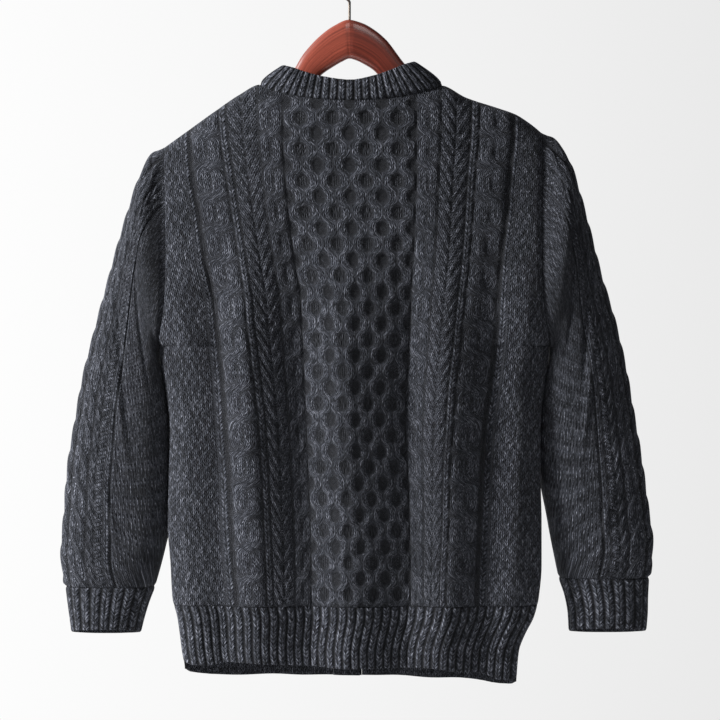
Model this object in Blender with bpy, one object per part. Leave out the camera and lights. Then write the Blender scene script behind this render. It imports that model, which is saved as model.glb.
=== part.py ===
# A cable-knit cardigan that hangs by its shoulders on a wooden hanger.
# The cloth is one wall per knitted piece, open at the neck, hem and cuffs. Each wall has a plain inside and an
# outside that is moved out by the height of its cables and ribs. X runs across the back, the back faces -Y and the
# fronts face +Y, and Z is up from the inside of the hook's crook, where the hanger is held.
import math

import bmesh
import bpy
import numpy as np

MM = 0.001

# Cloth
WALL = 0.003  # knitted wall, without the cables that stand on it
SEAM = 0.0003  # space between two pieces at a seam
STITCH = 0.00435  # one stitch across
REPEAT = 0.0337  # height from one cable crossing to the next
RIB_PITCH = 0.0088  # one rib and its furrow in the welts, cuffs and neckband
RIB_HEIGHT = 0.0016

# Form of the body
UNDERARM = -0.4098
WELT_TOP = UNDERARM - 33 * REPEAT / 4
ARM_HALF = 0.0115  # half the depth of the cloth where it lies over the hanger
ARM_DROP = 0.0140
BACK_SPREAD = 0.0250  # how far the back and the fronts stand off the middle, lower down
FRONT_SPREAD = 0.0300
MIDDLE_Y = 0.0100
SWEEP = 0.0230  # how far forward the hanger's arms reach at 200 mm from the middle
ARMHOLE_ROUND = 0.0600
ARMHOLE_SHARE = 0.86

# Fronts and bands
LEFT_FRONT_EDGE = -0.0178
RIGHT_FRONT_EDGE = 0.0133
OUTER_BAND = (-0.0130, 0.0130)
INNER_BAND = (-0.0175, 0.0110)
STEP_DOWN = 0.0034  # the inner band lies this far under the outer one
BUTTON_RADIUS = 0.0110
BUTTON_HEIGHT = 0.0036
BUTTON_ROWS = (-0.2080, -0.3120, -0.4160, -0.5200, -0.6240, -0.7280)

# Hanger
WOOD_HALF = 0.0065
WIRE_RADIUS = 0.0014
CROOK_RADIUS = 0.0190 + WIRE_RADIUS

# Body, a row for each height: z, then x of the left edge, of stitches 46, 33 and 16 left of the middle, of stitches
# 16, 33 and 46 right of it, and of the right edge, in mm.
BODY = np.array([
    (-140, -200, -177, -138, -69, 69, 135, 181, 207),
    (-180, -200, -177, -135, -69, 69, 134, 181, 207),
    (-225, -199, -174, -128, -67, 69, 130, 177, 207),
    (-270, -197, -166, -121, -63, 68, 127, 173, 205),
    (-320, -196, -159, -113, -57, 66, 123, 167, 205),
    (-362, -197, -149, -107, -50, 64, 118, 164, 207),
    (-388, -201, -146, -105, -49, 63, 115, 163, 210),
    (-410, -205, -144, -102, -48, 62, 113, 161, 214),
    (-428, -203, -142, -100, -47, 61, 111, 159, 213),
    (-453, -198, -140, -97, -46, 59, 108, 156, 209),
    (-500, -193, -137, -92, -44, 58, 105, 149, 205),
    (-550, -194, -133, -89, -42, 61, 102, 146, 205),
    (-600, -195, -131, -87, -40, 63, 101, 144, 206),
    (-645, -192, -128, -85, -39, 64, 99, 142, 206),
    (-680, -190, -125, -84, -39, 64, 98, 141, 203),
    (-700, -185, -125, -84, -39, 64, 98, 141, 198),
    (-720, -182, -125, -84, -39, 64, 98, 141, 188),
    (-736, -180, -125, -84, -39, 64, 98, 141, 182),
    (-754, -177, -125, -84, -39, 64, 98, 141, 180),
    (-770, -176, -125, -84, -39, 64, 98, 141, 179),
], float) * MM

# Shoulder line, back and front neck, back and front hem: x, z, in mm.
SHOULDERS = np.array([(-199.6, -196.8), (-174.9, -179.7), (-145.0, -158.9), (-118.2, -141.2), (-96.8, -130.5),
                      (-53.0, -127.3), (0.5, -126.2), (54.0, -127.3), (100.0, -131.6), (124.7, -144.0),
                      (160.0, -155.1), (177.7, -160.9), (195.3, -171.6), (207.0, -180.8)]) * MM
BACK_NECK = np.array([(-96.8, -130.5), (-91.5, -134.8), (-79.7, -139.6), (-53.0, -145.5), (-26.2, -148.5),
                      (0.5, -149.7), (27.3, -148.7), (54.0, -145.5), (80.8, -139.6), (94.6, -135.0),
                      (100.0, -131.6)]) * MM
FRONT_NECK = np.array([(-96.8, -130.5), (-93.6, -143.3), (-87.2, -158.3), (-74.4, -179.7), (-53.0, -200.0),
                       (-26.2, -210.7), (-0.5, -213.9), (27.3, -210.7), (54.0, -200.0), (76.5, -179.7),
                       (89.8, -158.3), (96.8, -143.3), (100.0, -131.6)]) * MM
BACK_HEM = np.array([(-182, -746), (-166, -751), (-150, -751), (-129, -747), (-73, -749), (-5, -753), (86, -753),
                     (118, -757), (140, -759), (164, -767), (173, -767), (185, -760)], float) * MM
FRONT_HEM = np.array([(-182, -751), (-171, -762), (-150, -766), (-12, -768), (60, -769), (86, -770), (140, -772),
                      (164, -775), (173, -775), (185, -764)], float) * MM

# Hanging folds: x at a height of -300 mm, x at -700 mm, how far the fold stands out (+) or falls in (-), in mm.
BACK_FOLDS = np.array([(-180, -170, 3), (-150, -134, -5), (-117, -100, 6), (-54, -42, -10), (-8, -2, 5),
                       (64, 61, -11), (112, 102, 7), (156, 138, -7), (190, 174, 4)], float) * MM
FRONT_FOLDS = np.array([(-172, -162, 4), (-132, -122, -6), (-92, -84, 5), (-52, -50, -4), (-26, -26, 0), (26, 26, 0),
                        (58, 52, 5), (94, 88, -6), (134, 122, 5), (168, 158, -4)], float) * MM

# How sharp the valleys are beside the round ridges, from 0 to 1.
BACK_SHARPNESS = 0.45
FRONT_SHARPNESS = 0.0
VALLEY_POWER = 1.4

# Cables of the body: middle and half width in stitches from the middle of the back, height in mm, and whether it
# is a rope of crossings.
CABLES = ((20.0, 3.1, 3.4, True), (27.5, 3.9, 1.7, False), (33.0, 1.1, 1.6, False), (39.0, 4.3, 4.0, True),
          (46.0, 1.1, 1.6, False))
# Cables of the sleeves: middle and half width in mm round the sleeve from its outer line, height in mm, rope or not.
SLEEVE_CABLES = ((0.0, 17.4, 4.0, True), (31.0, 10.5, 3.2, True), (52.0, 8.5, 1.6, False), (65.0, 3.5, 1.5, False))

# Sleeves, a row for each ring: share of the length, x and z of the outer line, x and z of the inner line, y of the
# middle, half the depth, in mm. The first ring is the armhole.
LEFT_SLEEVE = np.array([
    (0.00, -199.6, -196.8, -204.9, -409.8, 11, 38),
    (0.03, -211.2, -205.8, -206.0, -411.8, 14, 38),
    (0.08, -222.8, -227.3, -206.8, -416.5, 18, 38),
    (0.15, -234.3, -259.8, -206.0, -426.0, 23, 38.5),
    (0.24, -247.7, -302.0, -200.6, -443.0, 29, 39.5),
    (0.34, -261.1, -349.5, -196.0, -468.0, 32, 39.5),
    (0.44, -273.9, -397.1, -193.0, -499.0, 32, 39),
    (0.54, -285.8, -444.9, -193.0, -532.0, 31, 38),
    (0.64, -294.4, -493.5, -193.4, -565.0, 30, 36.5),
    (0.74, -302.1, -542.2, -193.8, -597.0, 29, 35),
    (0.84, -305.9, -591.3, -199.8, -626.7, 29, 33),
    (0.93, -309.0, -635.6, -205.9, -651.0, 28, 31),
    (1.00, -305.5, -669.8, -211.3, -669.8, 28, 28),
])
RIGHT_SLEEVE = np.array([
    (0.00, 207.0, -180.8, 214.0, -409.8, 11, 38),
    (0.03, 219.0, -189.8, 215.2, -411.8, 14, 38),
    (0.08, 233.3, -210.2, 216.2, -416.5, 18, 38),
    (0.15, 244.8, -243.4, 216.0, -426.0, 23, 38.5),
    (0.24, 257.2, -286.8, 211.3, -443.0, 29, 39.5),
    (0.34, 270.0, -335.3, 206.4, -468.0, 32, 39.5),
    (0.44, 284.3, -383.3, 204.0, -499.0, 32, 39),
    (0.54, 295.6, -432.2, 204.4, -532.0, 31, 38),
    (0.64, 304.2, -481.6, 207.8, -562.0, 30, 36.5),
    (0.74, 312.5, -531.1, 213.2, -590.0, 29, 35),
    (0.84, 319.5, -580.8, 218.2, -617.5, 29, 33),
    (0.93, 324.8, -625.6, 223.0, -641.7, 28, 31),
    (1.00, 322.1, -660.1, 226.8, -660.1, 28, 28),
])
# Cuffs, a row for each ring: share of the length, outer x, inner x, z, y of the middle, half the depth, in mm.
LEFT_CUFF = np.array([(0.0, -305.5, -211.3, -669.8, 28, 28), (0.35, -303.3, -218.3, -688.0, 28, 26),
                      (0.7, -300.7, -223.6, -706.1, 27, 24.5), (1.0, -299.1, -226.8, -719.0, 27, 24)])
RIGHT_CUFF = np.array([(0.0, 322.1, 226.8, -660.1, 28, 28), (0.35, 321.0, 233.8, -680.5, 28, 26),
                       (0.7, 320.5, 237.0, -698.7, 27, 24.5), (1.0, 318.9, 238.1, -717.9, 27, 24)])
CUFF_TILT = 0.0043  # how far the cuff's front edge hangs below its middle

# Top edge of the neckband: share of the way from the middle of the back to the front, then x, y, z in mm.
BAND_TOP = np.array([
    (-1.00, -17.8, 27.5, -190.2), (-0.92, -24.0, 27.5, -187.6), (-0.80, -37.8, 26.5, -176.5),
    (-0.68, -50.8, 24.5, -156.2), (-0.57, -62.6, 20.0, -130.5), (-0.50, -67.9, 13.0, -115.5),
    (-0.44, -70.1, 3.0, -110.7), (-0.40, -67.9, -5.0, -111.8), (-0.33, -59.4, -10.0, -114.4),
    (-0.24, -47.6, -11.5, -118.7), (-0.12, -26.2, -11.5, -124.1), (0.00, 0.5, -11.0, -127.3),
    (0.12, 26.8, -11.5, -122.5), (0.24, 46.0, -11.5, -115.9), (0.33, 57.8, -10.0, -110.9),
    (0.40, 66.3, -5.0, -108.0), (0.44, 68.5, 3.0, -106.9), (0.50, 66.3, 13.0, -111.8),
    (0.57, 61.0, 20.0, -126.8), (0.68, 51.4, 24.5, -153.2), (0.80, 36.4, 26.5, -174.4),
    (0.92, 21.0, 27.5, -187.0), (1.00, 13.3, 27.5, -190.2)])

# Wooden arms, a row for each section: x and z of the upper edge, x and z of the lower edge, in mm.
WOOD = np.array([
    (-201.7, -205.9, -192.1, -221.9), (-181.4, -190.7, -170.1, -208.4), (-150.0, -169.3, -138.5, -188.3),
    (-118.2, -149.4, -106.5, -169.7), (-93.6, -138.9, -81.9, -160.7), (-74.4, -127.6, -58.3, -151.2),
    (-61.5, -117.6, -42.3, -141.2), (-49.8, -99.1, -32.1, -123.0), (-32.1, -79.7, -16.6, -111.8),
    (-16.6, -68.4, -8.0, -106.9), (-1.1, -62.0, -0.1, -103.7), (13.4, -65.5, 8.0, -105.9),
    (26.2, -72.5, 16.6, -110.2), (39.1, -83.2, 25.1, -115.5), (58.3, -108.0, 40.1, -131.6),
    (74.4, -125.0, 59.4, -147.8), (94.7, -138.8, 82.9, -161.2), (118.2, -148.9, 108.6, -170.1),
    (150.0, -160.6, 142.6, -180.6), (177.7, -169.8, 169.0, -187.7), (202.0, -186.0, 193.0, -201.5)]) * MM

WOOL = (0.046, 0.049, 0.062)
MATERIALS = {
    "wool_knit": (WOOL, 0.95, 0.0),
    "stained_wood": ((0.17, 0.045, 0.028), 0.38, 0.0),
    "steel_wire": ((0.06, 0.055, 0.05), 0.35, 1.0),
    "dark_button": ((0.028, 0.026, 0.028), 0.35, 0.0),
}


def clear_scene():
    for item in list(bpy.data.objects):
        bpy.data.objects.remove(item, do_unlink=True)
    for item in list(bpy.data.collections):
        bpy.data.collections.remove(item)


def new_collection(name):
    made = bpy.data.collections.new(name)
    bpy.context.scene.collection.children.link(made)
    return made


def material(name, finish):
    colour, rough, metal = MATERIALS[finish]
    made = bpy.data.materials.new(name + "_" + finish)
    made.use_nodes = True
    shader = made.node_tree.nodes["Principled BSDF"]
    shader.inputs["Base Color"].default_value = (*colour, 1.0)
    shader.inputs["Roughness"].default_value = rough
    shader.inputs["Metallic"].default_value = metal
    made.diffuse_color = (*colour, 1.0)
    return made


def add_object(name, points, faces, collection, finish):
    mesh = bpy.data.meshes.new(name)
    mesh.from_pydata([tuple(map(float, p)) for p in points], [], faces)
    shape = bmesh.new()
    shape.from_mesh(mesh)
    bmesh.ops.recalc_face_normals(shape, faces=shape.faces)
    shape.to_mesh(mesh)
    shape.free()
    for face in mesh.polygons:
        face.use_smooth = True
    mesh.materials.append(material(name, finish))
    made = bpy.data.objects.new(name, mesh)
    collection.objects.link(made)
    return made


def smooth(at, keys, values):
    """Cubic through a table's rows that never overshoots them."""
    keys = np.asarray(keys, float)
    values = np.asarray(values, float)
    step = np.diff(keys)
    slope = np.diff(values) / step
    product = slope[1:] * slope[:-1]
    total = slope[1:] + slope[:-1]
    tangent = np.zeros(len(keys))
    same = product > 0
    tangent[1:-1][same] = 2 * product[same] / total[same]
    tangent[0] = slope[0]
    tangent[-1] = slope[-1]
    at = np.clip(at, keys[0], keys[-1])
    k = np.clip(np.searchsorted(keys, at, side="right") - 1, 0, len(keys) - 2)
    h = step[k]
    t = (at - keys[k]) / h
    start = values[k] * (1 + 2 * t) * (1 - t) ** 2 + tangent[k] * h * t * (1 - t) ** 2
    end = values[k + 1] * t * t * (3 - 2 * t) + tangent[k + 1] * h * t * t * (t - 1)
    return start + end


def unit(vectors):
    length = np.linalg.norm(vectors, axis=-1, keepdims=True)
    return vectors / np.maximum(length, 1e-12)


def body_line(z, column):
    return smooth(z, BODY[::-1, 0], BODY[::-1, column])


def shoulder_z(x):
    return smooth(x, SHOULDERS[:, 0], SHOULDERS[:, 1])


def hanger_y(x):
    return SWEEP * (np.abs(x) / 0.2) ** 1.6


def drop_below_shoulder(x, z):
    return np.maximum(shoulder_z(x) - z, 0.0)


def middle_y(x, z):
    lean = np.exp(-drop_below_shoulder(x, z) / 0.12)
    return MIDDLE_Y + (hanger_y(x) - MIDDLE_Y) * lean


def half_depth(x, z, spread):
    """Half the body's depth: round over the hanger's arm, wider below, and closing towards the side seams."""
    drop = drop_below_shoulder(x, z)
    over = 1 - np.clip(drop / ARM_DROP, 0, 1)
    low = np.clip((-0.55 - z) / 0.2, 0, 1)
    depth = ARM_HALF * np.sqrt(1 - over ** 2) + spread * (1 - np.exp(-drop / 0.10)) * (1 - 0.18 * low)
    left = body_line(z, 1)
    right = body_line(z, 8)
    across = np.clip(np.abs(2 * x - left - right) / (right - left), 0, 1)
    round_side = (1 - across ** 2.6) ** (1 / 2.6)
    rise = np.clip((z - UNDERARM) / ARMHOLE_ROUND, 0, 1)
    edge = ARMHOLE_SHARE * np.sqrt(1 - (1 - rise) ** 2)
    return depth * (edge + (1 - edge) * round_side)


def fold_height(x, z, folds, sharp):
    """Height of the hanging folds. Each row's fold slides between its two x as z falls, and grows downwards."""
    down = np.clip((-0.300 - z) / 0.400, -0.3, 1.2)
    grow = np.clip((-0.220 - z) / 0.280, 0, 1)
    grow = grow * grow * (3 - 2 * grow)
    left = body_line(z, 1)
    right = body_line(z, 8)
    places = [left + 0.001] + [a + (b - a) * down for a, b, height in folds] + [right - 0.001]
    heights = [0.0] + [height for a, b, height in folds] + [0.0]
    total = np.zeros(np.broadcast(x, z).shape)
    for k in range(len(heights) - 1):
        wide = np.maximum(places[k + 1] - places[k], 0.004)
        t = np.clip((x - places[k]) / wide, 0, 1)
        level = t * t * (3 - 2 * t)
        steep = t ** VALLEY_POWER if heights[k + 1] < heights[k] else 1 - (1 - t) ** VALLEY_POWER
        share = level + (steep - level) * sharp
        total = total + (heights[k + 1] - heights[k]) * share
    edge = np.clip(np.minimum(x - left, right - x) / 0.020, 0, 1)
    return total * grow * edge


def back_y(x, z):
    return middle_y(x, z) - half_depth(x, z, BACK_SPREAD) - fold_height(x, z, BACK_FOLDS, BACK_SHARPNESS)


def front_y(x, z):
    return middle_y(x, z) + half_depth(x, z, FRONT_SPREAD) + fold_height(x, z, FRONT_FOLDS, FRONT_SHARPNESS)


def body_normals(x, z, surface, side):
    """Outward normals of a surface y(x, z), from its slopes. side is -1 for the back and 1 for the fronts."""
    e = 0.0004
    slope_x = (surface(x + e, z) - surface(x - e, z)) / (2 * e)
    slope_z = (surface(x, z + e) - surface(x, z - e)) / (2 * e)
    return unit(np.stack([-side * slope_x, side * np.ones_like(x), -side * slope_z], axis=-1))


def stitch_x(stitch, z):
    """x of a column of stitches at a height, between the lines of the body's table."""
    lines = [(-46.0, 2), (-33.0, 3), (-16.0, 4), (16.0, 5), (33.0, 6), (46.0, 7)]
    value = np.clip(stitch, -46.0, 46.0)
    found = np.zeros(np.broadcast(value, z).shape)
    for (low, left), (high, right) in zip(lines, lines[1:]):
        a = body_line(z, left)
        b = body_line(z, right)
        share = (value - low) / (high - low)
        inside = (value >= low) & (value <= high)
        found = np.where(inside, a + (b - a) * share, found)
    return found


def column_x(place, z):
    """x of a grid column. Past stitch 46, place - 46 is the share of the way to the body's edge."""
    x = stitch_x(place, z)
    share = np.clip(np.abs(place) - 46.0, 0, 1)
    edge = np.where(place < 0, body_line(z, 1), body_line(z, 8))
    return x + (edge - x) * share


def cable_height(stitch, z, middle):
    """Height of the cables over the plain wall. middle is True where the honeycomb is."""
    away = np.abs(stitch)
    turn = 2 * math.pi * z / REPEAT
    height = np.zeros(np.broadcast(stitch, z).shape)
    for centre, half, tall, rope in CABLES:
        round_part = np.sqrt(np.clip(1 - ((away - centre) / half) ** 2, 0, 1))
        if rope:
            round_part = round_part * (0.76 + 0.24 * np.cos(turn + 1.0 * (away - centre)))
        height = np.maximum(height, tall * MM * round_part)
    if middle:
        comb = np.zeros_like(height)
        for k in range(-4, 4):
            way = 1 if k % 2 else -1
            strand = 4 * k + 2 + way * np.cos(turn)
            comb = np.maximum(comb, np.clip(1 - ((stitch - strand) / 1.7) ** 2, 0, 1))
        height = np.where(away < 16.2, np.maximum(height, 3.2 * MM * comb), height)
    return height


def zip_rim(outer, inner, faces):
    """Closes the rim between a row of outer points and the fewer inner points below them.
    inner is a list of (place in outer, point)."""
    for (start, a), (end, b) in zip(inner, inner[1:]):
        half = (start + end) // 2
        for k in range(start, end):
            faces.append((outer[k], outer[k + 1], a if k < half else b))
        faces.append((outer[half], b, a))


def wall(name, outer, inner, rows, columns, closed, collection, finish="wool_knit"):
    """One closed wall. outer is a grid of points, inner a coarser grid under the named rows and columns of it."""
    high, wide = outer.shape[:2]
    few_high = len(rows)
    few_wide = len(columns)
    points = np.concatenate([outer.reshape(-1, 3), inner.reshape(-1, 3)])
    shift = high * wide
    faces = []
    turns = wide if closed else wide - 1
    for r in range(high - 1):
        for c in range(turns):
            n = (c + 1) % wide
            faces.append((r * wide + c, (r + 1) * wide + c, (r + 1) * wide + n, r * wide + n))
    few_turns = few_wide if closed else few_wide - 1
    for r in range(few_high - 1):
        for c in range(few_turns):
            n = (c + 1) % few_wide
            faces.append((shift + r * few_wide + c, shift + r * few_wide + n,
                          shift + (r + 1) * few_wide + n, shift + (r + 1) * few_wide + c))
    for r, few in ((0, 0), (high - 1, few_high - 1)):
        ring = [r * wide + c for c in range(wide)]
        under = [(column, shift + few * few_wide + k) for k, column in enumerate(columns)]
        if closed:
            ring.append(r * wide)
            under.append((wide, shift + few * few_wide))
        zip_rim(ring, under, faces)
    if not closed:
        for c, few in ((0, 0), (wide - 1, few_wide - 1)):
            edge = [r * wide + c for r in range(high)]
            under = [(row, shift + k * few_wide + few) for k, row in enumerate(rows)]
            zip_rim(edge, under, faces)
    return add_object(name, points, faces, collection, finish)


def wall_depth(points):
    """Thickness of the wall: thinner at the underarms, where it turns back on itself."""
    near = np.full(points.shape[:-1], 1.0)
    for column in (1, 8):
        x = float(body_line(UNDERARM, column))
        place = np.array([x, float(middle_y(x, UNDERARM)), UNDERARM])
        near = np.minimum(near, np.linalg.norm(points - place, axis=-1))
    return (WALL * (1 - 0.6 * np.exp(-(near / 0.020) ** 2)))[..., None]


def every(count, step, always=()):
    kept = set(range(0, count, step)) | {0, count - 1} | set(always)
    return sorted(kept)


def panel_rows(top, steps_above, power, split, steps_below, bottom):
    """z of every grid row: close together under the shoulder, then level rows down to the welt."""
    shares = (np.arange(steps_above + 1) / steps_above) ** power
    above = top[None, :] + (split - top[None, :]) * shares[:, None]
    below = split + (bottom - split) * (np.arange(1, steps_below + 1) / steps_below)
    return np.concatenate([above, np.repeat(below[:, None], len(top), axis=1)])


def panel(name, places, neck, side, rows_above, power, rows_below, kept_columns, kept_rows, collection):
    """A body panel. places are its columns from left to right, side is -1 for the back and 1 for a front."""
    surface = back_y if side < 0 else front_y
    ends = (neck[0, 0], neck[-1, 0])
    places = np.asarray(places, float)

    def top_line(x):
        inside = (x > ends[0]) & (x < ends[1])
        return np.where(inside, smooth(x, neck[:, 0], neck[:, 1]), shoulder_z(x))

    top = np.full(len(places), -0.15)
    for _ in range(60):
        x_top = place_x(places, top, name)
        top = 0.5 * top + 0.5 * top_line(x_top)
    split = UNDERARM + rows_below[0] * rows_below[2]
    z = panel_rows(top, rows_above, power, split, rows_below[0] + rows_below[1], WELT_TOP + SEAM / 2)
    x = place_x(places[None, :], z, name)
    x = np.broadcast_to(x, z.shape).copy()
    y = surface(x, z)
    normal = body_normals(x, z, surface, side)

    on_shoulder = (x[0] <= ends[0] + 1e-4) | (x[0] >= ends[1] - 1e-4)
    y[0, on_shoulder] = middle_y(x[0], z[0])[on_shoulder] + side * SEAM / 2
    normal[0, on_shoulder, 1] = 0
    for column, sign in ((0, -1), (len(places) - 1, 1)):
        if abs(places[column]) < 46.5:
            normal[:, column, 0] = 0
            continue
        above = z[:, column] > UNDERARM - 1e-6
        x[above, column] -= sign * 0.0002
        normal[above, column, 0] = 0
        normal[~above, column] = (sign, 0, 0)
        y[~above, column] = middle_y(x[:, column], z[:, column])[~above] + side * SEAM / 2
        last = np.flatnonzero(above)[-1]
        y[last, column] = middle_y(x[last, column], z[last, column]) + side * SEAM / 2
        normal[last, column] = (0, 0, -1)
        normal[0, column] = (0, 0, 1)
    normal[-1, :, 2] = 0
    normal = unit(normal)

    base = np.stack([x, y, z], axis=-1)
    stitch = stitch_at(x, z)
    height = cable_height(stitch, z, side < 0)
    fade = np.clip((z[0][None, :] - z) / 0.010, 0, 1) * np.clip((z - z[-1][None, :]) / 0.006, 0, 1)
    near_edge = np.clip(np.minimum(x - body_line(z, 1), body_line(z, 8) - x) / 0.012, 0, 1)
    if side > 0:
        middle_edge = LEFT_FRONT_EDGE if places[0] < 0 else RIGHT_FRONT_EDGE
        near_edge = near_edge * np.clip(np.abs(x - middle_edge) / 0.008, 0, 1)
    outer = base + normal * (height * fade * near_edge)[..., None]
    rows = every(len(z), kept_rows[0], kept_rows[1])
    near_neck = (np.abs(x[0]) < 0.1025) & ((np.abs(x[0]) > 0.068) | (side > 0))
    at_neck = np.flatnonzero(near_neck)
    columns = every(len(places), kept_columns, at_neck.tolist())
    inner = base - normal * wall_depth(base)
    inner = inner[np.ix_(rows, columns)]
    wall(name, outer, inner, rows, columns, False, collection)
    return base, normal, on_shoulder


def place_x(places, z, name):
    """x of the grid's columns. In a front, places within 16 stitches run from its front edge to stitch 16."""
    x = column_x(places, z)
    if name == "back":
        return x
    edge = LEFT_FRONT_EDGE if "left" in name else RIGHT_FRONT_EDGE
    sixteen = stitch_x(np.where(places < 0, -16.0, 16.0), z)
    share = np.clip(np.abs(places) / 16.0, 0, 1)
    return np.where(np.abs(places) < 16.0, edge + (sixteen - edge) * share, x)


def stitch_at(x, z):
    """Stitches from the middle at a point, between the lines of the body's table."""
    lines = [(-60.0, 1), (-46.0, 2), (-33.0, 3), (-16.0, 4), (16.0, 5), (33.0, 6), (46.0, 7), (60.0, 8)]
    found = np.zeros(x.shape)
    for (low, left), (high, right) in zip(lines, lines[1:]):
        a = body_line(z, left)
        b = body_line(z, right)
        share = (x - a) / (b - a)
        inside = (x >= a) & (x <= b)
        found = np.where(inside, low + (high - low) * share, found)
    return found


def rib(distance):
    return 0.5 + 0.5 * np.cos(2 * math.pi * distance / RIB_PITCH)


def welt(name, low_x, high_x, hem, side, collection):
    """A rib welt between two sides, each a function of z, down to its hem."""
    surface = back_y if side < 0 else front_y
    wide = float(high_x(-0.72) - low_x(-0.72))
    columns = 2 * int(round(wide / RIB_PITCH)) + 1
    share = np.linspace(0, 1, columns)
    start = WELT_TOP - SEAM / 2
    lines = []
    for down in (0.0, 0.09, 1.0):
        z = np.full(columns, start)
        for _ in range(30):
            x = low_x(z) + (high_x(z) - low_x(z)) * share
            z = start + (smooth(x, hem[:, 0], hem[:, 1]) - start) * down
        lines.append((x, z))
    x = np.stack([line[0] for line in lines])
    z = np.stack([line[1] for line in lines])
    y = surface(x, z)
    normal = body_normals(x, z, surface, side)
    for column, edge, sign in ((0, low_x, -1), (columns - 1, high_x, 1)):
        if abs(edge(-0.72)) > 0.1:
            normal[:, column] = (sign, 0, 0)
            y[:, column] = middle_y(x[:, column], z[:, column]) + side * SEAM / 2
        else:
            normal[:, column, 0] = 0
    normal[0, :, 2] = 0
    normal = unit(normal)
    base = np.stack([x, y, z], axis=-1)
    ribs = np.where(np.arange(columns) % 2 == 1, RIB_HEIGHT, 0.0)
    grow = np.array([0.0, 1.0, 0.8])
    outer = base + normal * (grow[:, None] * ribs[None, :])[..., None]
    rows = [0, 1, 2]
    kept = every(columns, 3)
    inner = (base - normal * WALL)[np.ix_(rows, kept)]
    wall(name, outer, inner, rows, kept, False, collection)


def ring_points(centre, half, depth, power, count=240):
    """A flattened ring: along half from the outer to the inner point and along Y, as a dense closed line."""
    angle = 2 * math.pi * np.arange(count) / count
    along = np.sign(np.cos(angle)) * np.abs(np.cos(angle)) ** (2 / power)
    side = np.sign(np.sin(angle)) * np.abs(np.sin(angle)) ** (2 / power)
    points = centre[None, :] + along[:, None] * half[None, :]
    points[:, 1] -= side * depth
    return points, along, side


def armhole_points(x_column, along, side, table):
    """The armhole's loop on the body, at the same places as a sleeve ring."""
    z = table[0, 4] * MM + (table[0, 2] - table[0, 4]) * MM * (1 + along) / 2
    x = body_line(z, x_column)
    spread = np.where(side > 0, BACK_SPREAD, FRONT_SPREAD)
    y = middle_y(x, z) - np.sign(side) * half_depth(x, z, spread)
    return np.stack([x, y, z], axis=-1)


def sleeve_rings(table, x_column, sign, shares):
    rings = []
    for t in shares:
        row = [float(smooth(t, table[:, 0], table[:, k])) * MM for k in range(1, 7)]
        outer = np.array([row[0], row[4], row[1]])
        inner = np.array([row[2], row[4], row[3]])
        points, along, side = ring_points((outer + inner) / 2, (outer - inner) / 2, row[5], 2.3)
        hold = max(0.0, 1 - t / 0.13)
        if hold > 0:
            loop = armhole_points(x_column, along, side, table)
            first_out = np.array([table[0, 1], 0, table[0, 2]]) * MM
            first_in = np.array([table[0, 3], 0, table[0, 4]]) * MM
            straight = (first_out + first_in)[None] / 2 + along[:, None] * (first_out - first_in)[None] / 2
            bow = loop[:, 0] - straight[:, 0]
            ease = hold * hold * (3 - 2 * hold)
            points[:, 0] += bow * ease
            points[:, 1] = points[:, 1] * (1 - ease) + loop[:, 1] * ease
        rings.append(points)
    rings = np.array(rings)
    rings[0, :, 0] += sign * 0.0004
    return rings


def along_ring(points, wanted):
    """Points at set distances both ways round a ring from its first point. wanted(half) gives the distances."""
    count = len(points)
    closed = np.concatenate([points, points[:1]])
    length = np.concatenate([[0], np.cumsum(np.linalg.norm(np.diff(closed, axis=0), axis=1))])
    half = length[count // 2]
    back = wanted(half)
    front = wanted(length[-1] - half)
    at = np.concatenate([back, length[-1] - front[-2:0:-1]])
    found = np.stack([np.interp(at, length, closed[:, k]) for k in range(3)], axis=-1)
    away = np.concatenate([back, front[-2:0:-1]])
    return found, away


def sleeve_columns(half):
    fixed = np.array([0, 10, 19, 31, 43, 62]) * MM
    return np.concatenate([fixed, [0.031 + half / 2 - 0.004, half - 0.020, half - 0.007, half]])


def tube_normals(grid):
    across = np.roll(grid, -1, axis=1) - np.roll(grid, 1, axis=1)
    down = np.empty_like(grid)
    down[1:-1] = grid[2:] - grid[:-2]
    down[0] = grid[1] - grid[0]
    down[-1] = grid[-1] - grid[-2]
    normal = unit(np.cross(across, down))
    middle = grid.mean(axis=1, keepdims=True)
    if np.sum(normal * (grid - middle)) < 0:
        normal = -normal
    return normal


def flat_normals(ring, drop_axis):
    """Outward normals of a ring within its own plane."""
    across = np.roll(ring, -1, axis=0) - np.roll(ring, 1, axis=0)
    across[:, drop_axis] = 0
    axis = np.zeros(3)
    axis[drop_axis] = 1
    normal = unit(np.cross(across, axis))
    if np.sum(normal * (ring - ring.mean(axis=0))) < 0:
        normal = -normal
    return normal


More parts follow.
